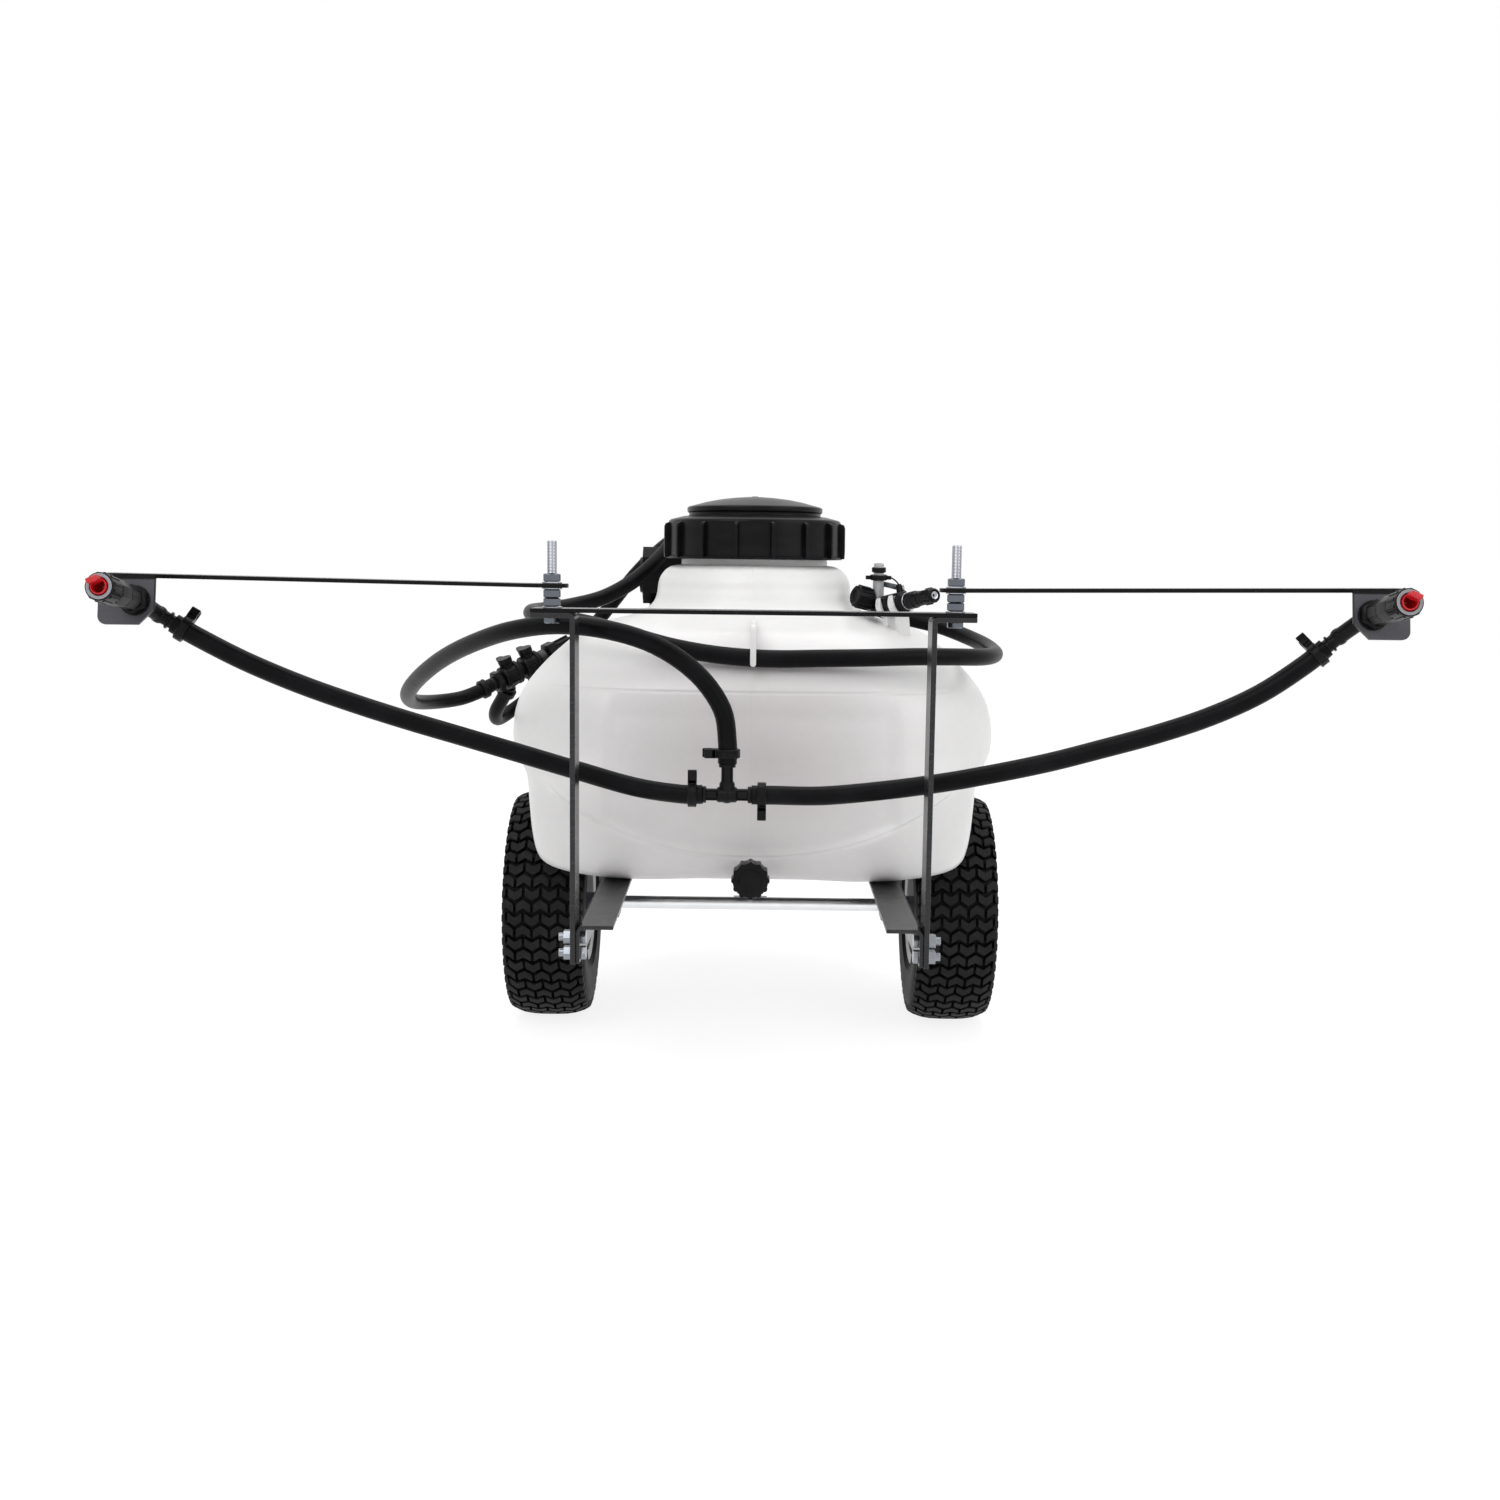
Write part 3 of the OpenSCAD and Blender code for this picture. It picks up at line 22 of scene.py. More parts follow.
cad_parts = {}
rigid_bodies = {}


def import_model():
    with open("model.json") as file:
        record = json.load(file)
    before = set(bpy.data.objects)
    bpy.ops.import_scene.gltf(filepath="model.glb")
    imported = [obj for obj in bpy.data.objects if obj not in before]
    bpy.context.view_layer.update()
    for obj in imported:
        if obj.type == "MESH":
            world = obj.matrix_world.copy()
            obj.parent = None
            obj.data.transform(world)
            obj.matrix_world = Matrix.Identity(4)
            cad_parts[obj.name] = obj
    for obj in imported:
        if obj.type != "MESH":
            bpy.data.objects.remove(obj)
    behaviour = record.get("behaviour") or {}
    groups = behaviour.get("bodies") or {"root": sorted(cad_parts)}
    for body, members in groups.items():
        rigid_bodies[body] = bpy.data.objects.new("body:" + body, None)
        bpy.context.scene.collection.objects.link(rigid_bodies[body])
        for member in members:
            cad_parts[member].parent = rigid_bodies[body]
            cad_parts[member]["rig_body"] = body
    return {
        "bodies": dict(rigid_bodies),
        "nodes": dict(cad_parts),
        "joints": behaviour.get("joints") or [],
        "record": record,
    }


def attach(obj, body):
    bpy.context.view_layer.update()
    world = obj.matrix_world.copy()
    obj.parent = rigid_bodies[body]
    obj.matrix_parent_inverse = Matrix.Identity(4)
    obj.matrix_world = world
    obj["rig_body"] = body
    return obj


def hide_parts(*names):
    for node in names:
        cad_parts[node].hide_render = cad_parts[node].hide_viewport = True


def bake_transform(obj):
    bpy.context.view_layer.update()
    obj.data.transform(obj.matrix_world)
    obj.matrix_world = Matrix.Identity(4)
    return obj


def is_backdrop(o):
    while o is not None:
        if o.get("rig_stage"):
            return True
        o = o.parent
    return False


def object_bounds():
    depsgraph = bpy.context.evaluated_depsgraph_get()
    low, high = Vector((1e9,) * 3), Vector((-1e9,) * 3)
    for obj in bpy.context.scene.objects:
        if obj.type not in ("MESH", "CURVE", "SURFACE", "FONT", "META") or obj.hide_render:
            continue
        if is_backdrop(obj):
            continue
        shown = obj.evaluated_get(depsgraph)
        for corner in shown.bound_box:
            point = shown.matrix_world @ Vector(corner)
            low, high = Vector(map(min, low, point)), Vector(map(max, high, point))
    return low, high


LOG = logging.getLogger("sprayer_cart")
HERE = Matrix.Identity(4)
Point = Sequence[float]
Profile = Sequence[tuple[float, float]]

# The wheels: their axle, the tyres and the crown of their tread.
AXLE_Y = -0.157487
WHEEL_X = 0.245
TYRE_R = 0.140
TREAD_HALF = 0.049
CROWN_FALL = 0.0105
CROWN_POWER = 3.4

# The creases in the tank's rear: the shelf's line, and the smile, which rises towards the sides.
CREASE_Z = 0.4240
SMILE_Z = 0.243
SMILE_RISE = 0.068
SMILE_HALF = 0.215
SMILE_POWER = 2.3

# How far a barb stays off the end of its hose, and a bolt off its bore.
FIT = 0.00002


def from_axle(point: Point) -> Vector:
    """Move a point that is written from the wheel axle into the cart's own frame."""
    return Vector((point[0], point[1] + AXLE_Y, point[2]))


def shifted(x: float, y: float, z: float) -> Matrix:
    """Return the placing that only moves a piece."""
    return Matrix.Translation((x, y, z))


def turned(degrees: float, axis: str) -> Matrix:
    """Return the placing that turns a piece about X, Y or Z."""
    return Matrix.Rotation(math.radians(degrees), 4, axis)


def aimed(start: Point, towards: Point, twist: float = 0.0) -> Matrix:
    """Place a piece that stands on +Z so that it points from one place to another.

    Args:
        start: Where the piece's foot goes.
        towards: The place that its +Z axis points at.
        twist: Turn about its own axis in degrees.

    Returns:
        The placing, turned as the CAD's own aim() turns it.
    """
    way = Vector(towards) - Vector(start)
    yaw = math.degrees(math.atan2(way.y, way.x))
    pitch = math.degrees(math.acos(max(-1.0, min(1.0, way.z / way.length))))
    return Matrix.Translation(start) @ turned(yaw, "Z") @ turned(pitch, "Y") @ turned(twist, "Z")


def smooth_step(low: float, high: float, value: float) -> float:
    """Rise smoothly from 0 at low to 1 at high."""
    share = min(1.0, max(0.0, (value - low) / (high - low)))
    return share * share * (3 - 2 * share)


def spline(points: Sequence[Vector], between: int) -> list[Vector]:
    """Draw a Catmull-Rom curve through points.

    Args:
        points: The points that the curve passes through.
        between: Number of steps from each point to the next.

    Returns:
        The points of the finer line, both ends included.
    """
    line: list[Vector] = []
    last = len(points) - 1
    for i in range(last):
        before, here = points[max(i - 1, 0)], points[i]
        there, after = points[i + 1], points[min(i + 2, last)]
        for step in range(between):
            t = step / between
            line.append(
                0.5 * ((2 * here) + (there - before) * t
                       + (2 * before - 5 * here + 4 * there - after) * t * t
                       + (3 * here - before - 3 * there + after) * t ** 3)
            )
    line.append(points[last].copy())
    return line


def around(place: Matrix, count: int, reach: float, height: float,
           first: float = 0.0) -> list[Matrix]:
    """Return equal steps round a place's own Z axis.

    Args:
        place: The placing whose Z axis they stand round.
        count: Number of steps in the full turn.
        reach: Their distance from the axis.
        height: Their height along it.
        first: Where the first one stands, in degrees.

    Returns:
        One placing a step, with X pointing away from the axis.
    """
    step = shifted(reach, 0, height)
    return [place @ turned(first + 360.0 * i / count, "Z") @ step for i in range(count)]


# ---------------------------------------------------------------- bmesh steps


def pour(part: bmesh.types.BMesh, into: bmesh.types.BMesh) -> None:
    """Add one bmesh to another and free it.

    Args:
        part: The bmesh that ends here.
        into: The one that grows.
    """
    held = bpy.data.meshes.new("held")
    part.to_mesh(held)
    part.free()
    into.from_mesh(held)
    bpy.data.meshes.remove(held)


def shown(name: str, part: bmesh.types.BMesh) -> bpy.types.Object:
    """Turn a finished bmesh into an object of the scene and free it.

    Args:
        name: Name of the object and of its mesh.
        part: The finished bmesh.

    Returns:
        The new object.
    """
    mesh = bpy.data.meshes.new(name)
    part.to_mesh(mesh)
    part.free()
    made = bpy.data.objects.new(name, mesh)
    bpy.context.scene.collection.objects.link(made)
    return made


def raised(part: bmesh.types.BMesh, faces: list[bmesh.types.BMFace],
           height: float) -> list[bmesh.types.BMVert]:
    """Extrude faces along Z.

    Args:
        part: The bmesh that they are in.
        faces: The faces.
        height: How far they rise.

    Returns:
        The corners that rose.
    """
    grown = bmesh.ops.extrude_face_region(part, geom=faces)["geom"]
    top = [item for item in grown if isinstance(item, bmesh.types.BMVert)]
    bmesh.ops.translate(part, verts=top, vec=(0, 0, height))
    return top


def walled(part: bmesh.types.BMesh, low: list[bmesh.types.BMVert],
           high: list[bmesh.types.BMVert]) -> list[bmesh.types.BMFace]:
    """Join two rings of as many corners with faces.

    Args:
        part: The bmesh that they are in.
        low: The first ring.
        high: The ring after it.

    Returns:
        The new faces in order.
    """
    count = len(low)
    return [part.faces.new((low[k], low[(k + 1) % count], high[(k + 1) % count], high[k]))
            for k in range(count)]


def closed(part: bmesh.types.BMesh) -> None:
    """Close a part's open ends."""
    bmesh.ops.holes_fill(part, edges=[e for e in part.edges if e.is_boundary])


def creased(part: bmesh.types.BMesh, degrees: float) -> list[bmesh.types.BMEdge]:
    """Return the edges at which a closed part turns by more than an angle."""
    return [e for e in part.edges if e.calc_face_angle(0.0) > math.radians(degrees)]


def eased(part: bmesh.types.BMesh, edges: list[bmesh.types.BMEdge], width: float, segments: int = 2,
          clamp: bool = False) -> None:
    """Round edges.

    Args:
        part: The bmesh that they are in.
        edges: The edges.
        width: Width of the rounding.
        segments: Number of facets over it.
        clamp: Whether the width gives way where two roundings would meet.
    """
    bmesh.ops.bevel(part, geom=edges, offset=width, segments=segments, profile=0.5, affect="EDGES",
                    clamp_overlap=clamp, material=-1)


# ---------------------------------------------------------------- shader graphs


class Signal:
    """A shader socket that takes part in sums."""

    def __init__(self, graph: "Graph", socket: bpy.types.NodeSocket) -> None:
        """Wrap a socket of a graph."""
        self.graph = graph
        self.socket = socket

    def __add__(self, other: "Signal | float") -> "Signal":
        """Add."""
        return self.graph.math("ADD", self, other)

    __radd__ = __add__

    def __sub__(self, other: "Signal | float") -> "Signal":
        """Subtract."""
        return self.graph.math("SUBTRACT", self, other)

    def __rsub__(self, other: float) -> "Signal":
        """Subtract from a number."""
        return self.graph.math("SUBTRACT", other, self)

    def __mul__(self, other: "Signal | float") -> "Signal":
        """Multiply."""
        return self.graph.math("MULTIPLY", self, other)

    __rmul__ = __mul__

    def __truediv__(self, other: "Signal | float") -> "Signal":
        """Divide."""
        return self.graph.math("DIVIDE", self, other)

    def __rtruediv__(self, other: float) -> "Signal":
        """Divide a number by this."""
        return self.graph.math("DIVIDE", other, self)

    def __pow__(self, other: float) -> "Signal":
        """Raise to a power."""
        return self.graph.math("POWER", self, other)

    def size(self) -> "Signal":
        """Take the absolute value."""
        return self.graph.math("ABSOLUTE", self)

    def sine(self) -> "Signal":
        """Take the sine of an angle in radians."""
        return self.graph.math("SINE", self)

    def above(self, other: "Signal | float") -> "Signal":
        """Take the larger of two values."""
        return self.graph.math("MAXIMUM", self, other)

    def ramp(self, low: float, high: float, start: float = 0.0, end: float = 1.0) -> "Signal":
        """Map low..high smoothly onto start..end, held at both ends.

        Args:
            low: The value that gives start.
            high: The value that gives end.
            start: Result at and below low.
            end: Result at and above high.

        Returns:
            The mapped signal.
        """
        node = self.graph.node(
            "ShaderNodeMapRange", {"interpolation_type": "SMOOTHSTEP"},
            {"Value": self, "From Min": low, "From Max": high, "To Min": start, "To Max": end},
        )
        return Signal(self.graph, node.outputs["Result"])


class Graph:
    """The node tree of one material, world or floor."""

    def __init__(self, owner: bpy.types.ID) -> None:
        """Empty the owner's node tree and keep it.

        Args:
            owner: The material or world.
        """
        owner.use_nodes = True
        self.tree = owner.node_tree
        self.tree.nodes.clear()

    def node(self, kind: str, settings: dict[str, object] | None = None,
             inputs: dict[str | int, object] | None = None) -> bpy.types.Node:
        """Add one node.

        Args:
            kind: The node's type name.
            settings: Properties, set before the inputs.
            inputs: Values, sockets or signals for its inputs, by name or number.

        Returns:
            The new node.
        """
        made = self.tree.nodes.new(kind)
        for name, value in (settings or {}).items():
            setattr(made, name, value)
        for name, value in (inputs or {}).items():
            self.feed(made.inputs[name], value)
        return made

    def feed(self, entry: bpy.types.NodeSocket, value: object) -> None:
        """Link a signal or socket to an input, or set the input's own value.

        Args:
            entry: The input.
            value: The signal, socket or value.
        """
        source = value.socket if isinstance(value, Signal) else value
        if isinstance(source, bpy.types.NodeSocket):
            self.tree.links.new(source, entry)
        else:
            entry.default_value = source

    def math(self, operation: str, *terms: Signal | float) -> Signal:
        """Add a Math node on one or two terms."""
        made = self.node("ShaderNodeMath", {"operation": operation}, dict(enumerate(terms)))
        return Signal(self, made.outputs[0])

    def places(self) -> bpy.types.NodeSocket:
        """Return the Object coordinates."""
        return self.node("ShaderNodeTexCoord").outputs["Object"]

    def axes(self, vector: bpy.types.NodeSocket) -> tuple[Signal, Signal, Signal]:
        """Split a vector into its three parts."""
        parts = self.node("ShaderNodeSeparateXYZ", None, {"Vector": vector})
        return tuple(Signal(self, out) for out in parts.outputs)

    def stretched(self, vector: bpy.types.NodeSocket, scale: Point) -> bpy.types.NodeSocket:
        """Scale a coordinate by its own amount along each axis."""
        made = self.node("ShaderNodeMapping", None, {"Vector": vector, "Scale": tuple(scale)})
        return made.outputs[0]

    def noise(self, vector: bpy.types.NodeSocket, scale: float, detail: float = 3.0,
              rough: float = 0.55) -> Signal:
        """Add a noise.

        Args:
            vector: The coordinates that it reads.
            scale: Features in a metre.
            detail: Number of finer octaves.
            rough: Weight of the finer ones.

        Returns:
            Its value, which runs from 0 to 1.
        """
        made = self.node(
            "ShaderNodeTexNoise", None,
            {"Vector": vector, "Scale": scale, "Detail": detail, "Roughness": rough},
        )
        return Signal(self, made.outputs["Fac"])

    def between(self, share: Signal, first: Point | bpy.types.NodeSocket,
                second: Point | bpy.types.NodeSocket) -> bpy.types.NodeSocket:
        """Mix two colours.

        Args:
            share: 0 for all of the first colour, 1 for all of the second.
            first: The first colour, as a value or a socket.
            second: The second colour.

        Returns:
            The mixed colour.
        """
        ends = [colour if isinstance(colour, bpy.types.NodeSocket) else (*colour, 1.0)
                for colour in (first, second)]
        made = self.node("ShaderNodeMix", {"data_type": "RGBA"}, {0: share, 6: ends[0], 7: ends[1]})
        return made.outputs[2]

    def bump(self, height: Signal, depth: float, strength: float = 1.0) -> bpy.types.NodeSocket:
        """Turn a height into a normal.

        Args:
            height: The height, from 0 to 1.
            depth: What a height of 1 measures in metres.
            strength: Share of the effect.

        Returns:
            The normal.
        """
        made = self.node(
            "ShaderNodeBump", None, {"Height": height, "Distance": depth, "Strength": strength}
        )
        return made.outputs["Normal"]

    def surface(self, inputs: dict[str, object]) -> None:
        """Finish the material with a Principled shader."""
        shader = self.node("ShaderNodeBsdfPrincipled", None, inputs)
        self.node("ShaderNodeOutputMaterial", None, {"Surface": shader.outputs[0]})


@dataclass(frozen=True)
class Finish:
    """A material that is made once and shared by the pieces that wear it."""

    name: str

    def material(self) -> bpy.types.Material:
        """Draw the material's nodes the first time that it is asked for.

        Returns:
            The material.
        """
        found = bpy.data.materials.get(self.name)
        if found is None:
            found = bpy.data.materials.new(self.name)
            self.draw(Graph(found))
        return found

    def draw(self, graph: Graph) -> None:
        """Draw the nodes. Each finish has its own."""
        raise NotImplementedError


@dataclass(frozen=True)
class RotomouldedSkin(Finish):
    """Milky polyethylene: a satin skin with a faint orange peel and a warm grey tone, partly cloudy
    wall thickness and partly painted shade over the middle of the body.
    """

    light: Point = (0.875, 0.875, 0.868)
    shade: Point = (0.650, 0.618, 0.624)
    roughness: float = 0.33
    rear_y: float = AXLE_Y - 0.17
    line_half: float = 0.0026

    def draw(self, graph: Graph) -> None:
        """Mix broad clouds of wall thickness with a fine peel, paint shade over the middle of the
        body, and draw the mould's witness lines.

        Args:
            graph: The material's empty node tree.
        """
        places = graph.places()
        x, y, z = graph.axes(places)
        clouds = graph.noise(places, 5.0, 2.0)
        speckle = graph.noise(places, 90.0, 4.0)
        peel = graph.noise(places, 420.0, 2.0)
        waves = graph.noise(places, 16.0, 1.0)
        # Painted shade: a band between heights 0.24 and 0.52, strongest across the middle of the
        # width, mixes the skin towards the shade colour; the clouds and speckle stand for wall
        # thickness.
        low = z.ramp(0.24, 0.34, 0.85, 1.15) * z.ramp(0.40, 0.52, 1.0, 0.0)
        centre = x.size().ramp(0.03, 0.26, 1.0, 0.0)
        thickness_and_painted_shade = clouds * 0.34 + low * centre * 0.62 + (speckle - 0.5) * 0.18
        seam = x.size().ramp(0.0004, 0.0014, 1.0, 0.0)
        rear = y.ramp(self.rear_y, self.rear_y + 0.03, 1.0, 0.0)
        smile = ((x.size() / SMILE_HALF) ** SMILE_POWER) * SMILE_RISE + SMILE_Z
        shelf_line, smile_line = (
            (z - level).size().ramp(0.0004, self.line_half, 1.0, 0.0)
            * x.size().ramp(fade, 0.235, 1.0, 0.0)
            for level, fade in ((CREASE_Z, 0.20), (smile, 0.21)))
        height = peel * 0.10 + waves * 0.9 + seam * 0.22 - (shelf_line + smile_line) * rear * 0.9
        graph.surface({
            "Base Color": graph.between(thickness_and_painted_shade, self.light, self.shade),
            "Roughness": peel * 0.08 + clouds * 0.06 + (self.roughness - 0.07),
            "Specular IOR Level": 0.45,
            "Subsurface Weight": 0.12,
            "Subsurface Radius": (0.012, 0.011, 0.010),
            "Subsurface Scale": 1.0,
            "Normal": graph.bump(height, 0.0009),
        })


@dataclass(frozen=True)
class PowderCoat(Finish):
    """Baked powder on steel, with its fine pebbled skin."""

    colour: Point = (0.030, 0.031, 0.034)
    sheen: float = 0.42
    pebble: float = 1300.0
    gloss: float = 0.30
    depth: float = 0.00004

    def tinted(self, graph: Graph, share: Signal) -> bpy.types.NodeSocket:
        """Mix the colour with its thinner, lighter spots."""
        lighter = tuple(min(1.0, c * 1.45 + 0.004) for c in self.colour)
        return graph.between(share, self.colour, lighter)

    def baked(self, graph: Graph, colour: bpy.types.NodeSocket, pebbles: Signal,
              wear: Signal) -> None:
        """Finish the coat.

        Args:
            graph: The material's node tree.
            colour: The coat's colour.
            pebbles: The height of its skin.
            wear: What handling adds to its roughness.
        """
        graph.surface({
            "Base Color": colour,
            "Roughness": pebbles * 0.12 + wear + (self.sheen - 0.08),
            "Specular IOR Level": self.gloss,
            "Normal": graph.bump(pebbles, self.depth, 0.7),
        })

    def draw(self, graph: Graph) -> None:
        """Lay a pebbled bump over an even colour with slight handling marks.

        Args:
            graph: The material's empty node tree.
        """
        places = graph.places()
        pebbles = graph.noise(places, self.pebble, 2.0)
        broad = graph.noise(places, 30.0, 4.0)
        rubbed = graph.noise(graph.stretched(places, (40.0, 220.0, 220.0)), 1.0, 5.0, 0.7)
        colour = self.tinted(graph, (broad + rubbed * 0.5).ramp(0.55, 1.15))
        self.baked(graph, colour, pebbles, rubbed.ramp(0.55, 0.8, 0.0, 0.10))


@dataclass(frozen=True)
class BentBarCoat(PowderCoat):
    """Black powder on the boom bars, with a painted sheen that makes the tabs bent down at their
    ends paler.
    """

    tab_from: float = 0.5712
    tab_under: float = 0.5440
    tab_painted_sheen: Point = (0.100, 0.097, 0.108)

    def draw(self, graph: Graph) -> None:
        """Paint a sheen onto the tabs as a paler colour mixed over the bar's black.

        Args:
            graph: The material's empty node tree.
        """
        places = graph.places()
        x, _, z = graph.axes(places)
        pebbles = graph.noise(places, self.pebble, 2.0)
        broad = graph.noise(places, 30.0, 4.0)
        # Painted sheen: the tabs below tab_under and outboard of tab_from are mixed towards a pale
        # grey that stands for the light they catch.
        outboard = x.size().ramp(self.tab_from, self.tab_from + 0.0006)
        tab = outboard * z.ramp(self.tab_under - 0.002, self.tab_under, 1.0, 0.0)
        bar = self.tinted(graph, broad.ramp(0.50, 0.90))
        colour = graph.between(tab * (broad * 0.5 + 0.62), bar, self.tab_painted_sheen)
        self.baked(graph, colour, pebbles, broad * 0.06)


@dataclass(frozen=True)
class ClearTubing(Finish):
    """Milky clear vinyl, as used for short check tubes."""

    colour: Point = (0.56, 0.57, 0.58)
    cloud: Point = (0.36, 0.37, 0.38)

    def draw(self, graph: Graph) -> None:
        """Cloud a pale satin skin with faint drawing lines.

        Args:
            graph: The material's empty node tree.
        """
        places = graph.places()
        clouds = graph.noise(places, 160.0, 3.0)
        lines = graph.noise(graph.stretched(places, (900.0, 900.0, 60.0)), 1.0, 3.0, 0.6)
        graph.surface({
            "Base Color": graph.between(clouds, self.colour, self.cloud),
            "Roughness": clouds * 0.10 + lines * 0.08 + 0.16,
            "Coat Weight": clouds * 0.2 + 0.4,
            "Normal": graph.bump(lines, 0.00004, 0.5),
        })


@dataclass(frozen=True)
class ZincPlate(Finish):
    """Bright zinc on fasteners, a little blue, with drawing marks along one axis."""

    colour: Point = (0.74, 0.76, 0.79)
    roughness: float = 0.26
    grain: Point = (900.0, 900.0, 90.0)

    def draw(self, graph: Graph) -> None:
        """Mix a cloudy passivation tint with fine drawn scratches.

        Args:
            graph: The material's empty node tree.
        """
        places = graph.places()
        tint = graph.noise(places, 70.0, 3.0)
        drawn = graph.noise(graph.stretched(places, self.grain), 1.0, 3.0, 0.6)
        spots = graph.noise(places, 500.0, 3.0).ramp(0.64, 0.80)
        dull = tuple(c * 0.80 for c in self.colour)
        graph.surface({
            "Base Color": graph.between(tint * 0.6 + spots * 0.15, self.colour, dull),
            "Metallic": 1.0,
            "Roughness": tint * 0.12 + drawn * 0.10 + (self.roughness - 0.10),
            "Normal": graph.bump(drawn, 0.00002, 0.5),
        })


@dataclass(frozen=True)
class MouldedNylon(Finish):
    """Black filled nylon, from a spark-eroded mould."""

    colour: Point = (0.0034, 0.0034, 0.0040)
    roughness: float = 0.32
    texture: float = 900.0
    gloss: float = 0.12

    def draw(self, graph: Graph) -> None:
        """Give the dark resin a fine eroded texture and cloudy flow marks.

        Args:
            graph: The material's empty node tree.
        """
        places = graph.places()
        eroded = graph.noise(places, self.texture, 3.0)
        flow = graph.noise(graph.stretched(places, (18.0, 18.0, 55.0)), 1.0, 4.0, 0.65)
        lighter = tuple(c * 2.0 + 0.0015 for c in self.colour)
        graph.surface({
            "Base Color": graph.between(flow.ramp(0.35, 0.75), self.colour, lighter),
            "Roughness": eroded * 0.10 + flow * 0.14 + (self.roughness - 0.11),
            "Specular IOR Level": self.gloss,
            "Normal": graph.bump(eroded, 0.00006, 0.7),
        })


@dataclass(frozen=True)
class RedAcetal(Finish):
    """Glossy red acetal of the spray tips."""

    colour: Point = (0.62, 0.012, 0.018)
    deep: Point = (0.40, 0.006, 0.010)

    def draw(self, graph: Graph) -> None:
        """Darken the resin in soft clouds under a smooth gloss.

        Args:
            graph: The material's empty node tree.
        """
        places = graph.places()
        clouds = graph.noise(places, 140.0, 3.0)
        skin = graph.noise(places, 1500.0, 2.0)
        graph.surface({
            "Base Color": graph.between(clouds.ramp(0.3, 0.8), self.colour, self.deep),
            "Roughness": skin * 0.08 + 0.22,
            "Normal": graph.bump(skin, 0.00003, 0.5),
        })


@dataclass(frozen=True)
class WrappedHoseRubber(Finish):
    """Black hose cover that keeps the print of its curing wrap, on the hose's own UV map.

    The map's U runs along the hose in metres and its V once round it.
    """

    colour: Point = (0.0019, 0.0019, 0.0025)
    bloom: Point = (0.0072, 0.0075, 0.0092)
    wrap: float = 780.0
    roundabout: float = 34.0
    lap: float = 0.034

    def draw(self, graph: Graph) -> None:
        """Cross two fine spirals as the wrap's print, with bloom and scuffs along the run.

        Args:
            graph: The material's empty node tree.
        """
        unrolled = graph.node("ShaderNodeUVMap", {"uv_map": "HoseRun"}).outputs["UV"]
        along, across, _ = graph.axes(unrolled)
        places = graph.places()
        turn = across * (2 * math.pi * self.roundabout)
        one = (along * (math.pi * self.wrap) + turn).sine()
        other = (along * (math.pi * self.wrap) - turn).sine()
        weave = (one * other) * 0.5 + 0.5
        bloom = graph.noise(places, 22.0, 4.0, 0.6)
        scuffs = graph.noise(graph.stretched(unrolled, (60.0, 9.0, 1.0)), 1.0, 5.0, 0.7)
        wrapped = (along * (2 * math.pi / self.lap) + across * (2 * math.pi)).sine().ramp(0.93, 1.0)
        paler = bloom.ramp(0.40, 0.78) * 0.7 + scuffs * 0.2
        height = weave * 0.30 + scuffs * 0.30 + wrapped * 0.5
        graph.surface({
            "Base Color": graph.between(paler, self.colour, self.bloom),
            "Roughness": bloom * 0.12 + scuffs * 0.10 + 0.27,
            "Specular IOR Level": 0.085,
            "Normal": graph.bump(height, 0.00011, 0.8),
        })


@dataclass(frozen=True)
class TyreRubber(Finish):
    """Tread rubber: black in the grooves as painted shade, dusty and a little polished on top of
    the blocks.
    """

    # The groove colour is painted shade in the grooves; the worn and dusty colours are the rubber
    # on the block tops and sidewalls.
    groove: Point = (0.0040, 0.0040, 0.0046)
    worn: Point = (0.0120, 0.0118, 0.0132)
    dusty: Point = (0.028, 0.027, 0.028)

    def draw(self, graph: Graph) -> None:
        """Tell the blocks' tops from the grooves by the distance from the axle, paint the grooves
        darker as shade, and speckle both.

        Args:
            graph: The material's empty node tree.
        """
        places = graph.places()
        x, y, z = graph.axes(places)
        dust = graph.noise(places, 35.0, 5.0, 0.6)
        pores = graph.noise(places, 1100.0, 3.0)
        patches = graph.noise(places, 190.0, 3.0)
        across = (x.size() - WHEEL_X).size() / TREAD_HALF
        crown = (across ** CROWN_POWER) * -CROWN_FALL + TYRE_R
        reach = ((y - AXLE_Y) ** 2.0 + (z - TYRE_R) ** 2.0) ** 0.5
        # Painted shade: below the block tops the colour falls to the dark groove colour.
        top = (reach - crown).ramp(-0.0042, -0.0008)
        side = across.ramp(0.93, 1.0, 0.0, 0.35)
        worn = graph.between(dust.ramp(0.40, 0.80) * 0.8 + patches * 0.2, self.worn, self.dusty)
        graph.surface({
            "Base Color": graph.between(top + side * (1 - top), self.groove, worn),
            "Roughness": pores * 0.12 + dust * 0.14 + 0.42,
            "Specular IOR Level": 0.10,
            "Normal": graph.bump(pores * 0.5 + patches * 0.5, 0.00014, 0.8),
        })


@dataclass(frozen=True)
class GasketRubber(Finish):
    """Soft black seal rubber."""

    colour: Point = (0.016, 0.016, 0.017)
    dusty: Point = (0.034, 0.034, 0.036)

    def draw(self, graph: Graph) -> None:
        """Draw a matt cover with a fine grain.

        Args:
            graph: The material's empty node tree.
        """
        places = graph.places()
        grain = graph.noise(places, 800.0, 3.0)
        clouds = graph.noise(places, 60.0, 3.0)
        graph.surface({
            "Base Color": graph.between(clouds, self.colour, self.dusty),
            "Roughness": grain * 0.15 + 0.58,
            "Normal": graph.bump(grain, 0.00008, 0.7),
        })


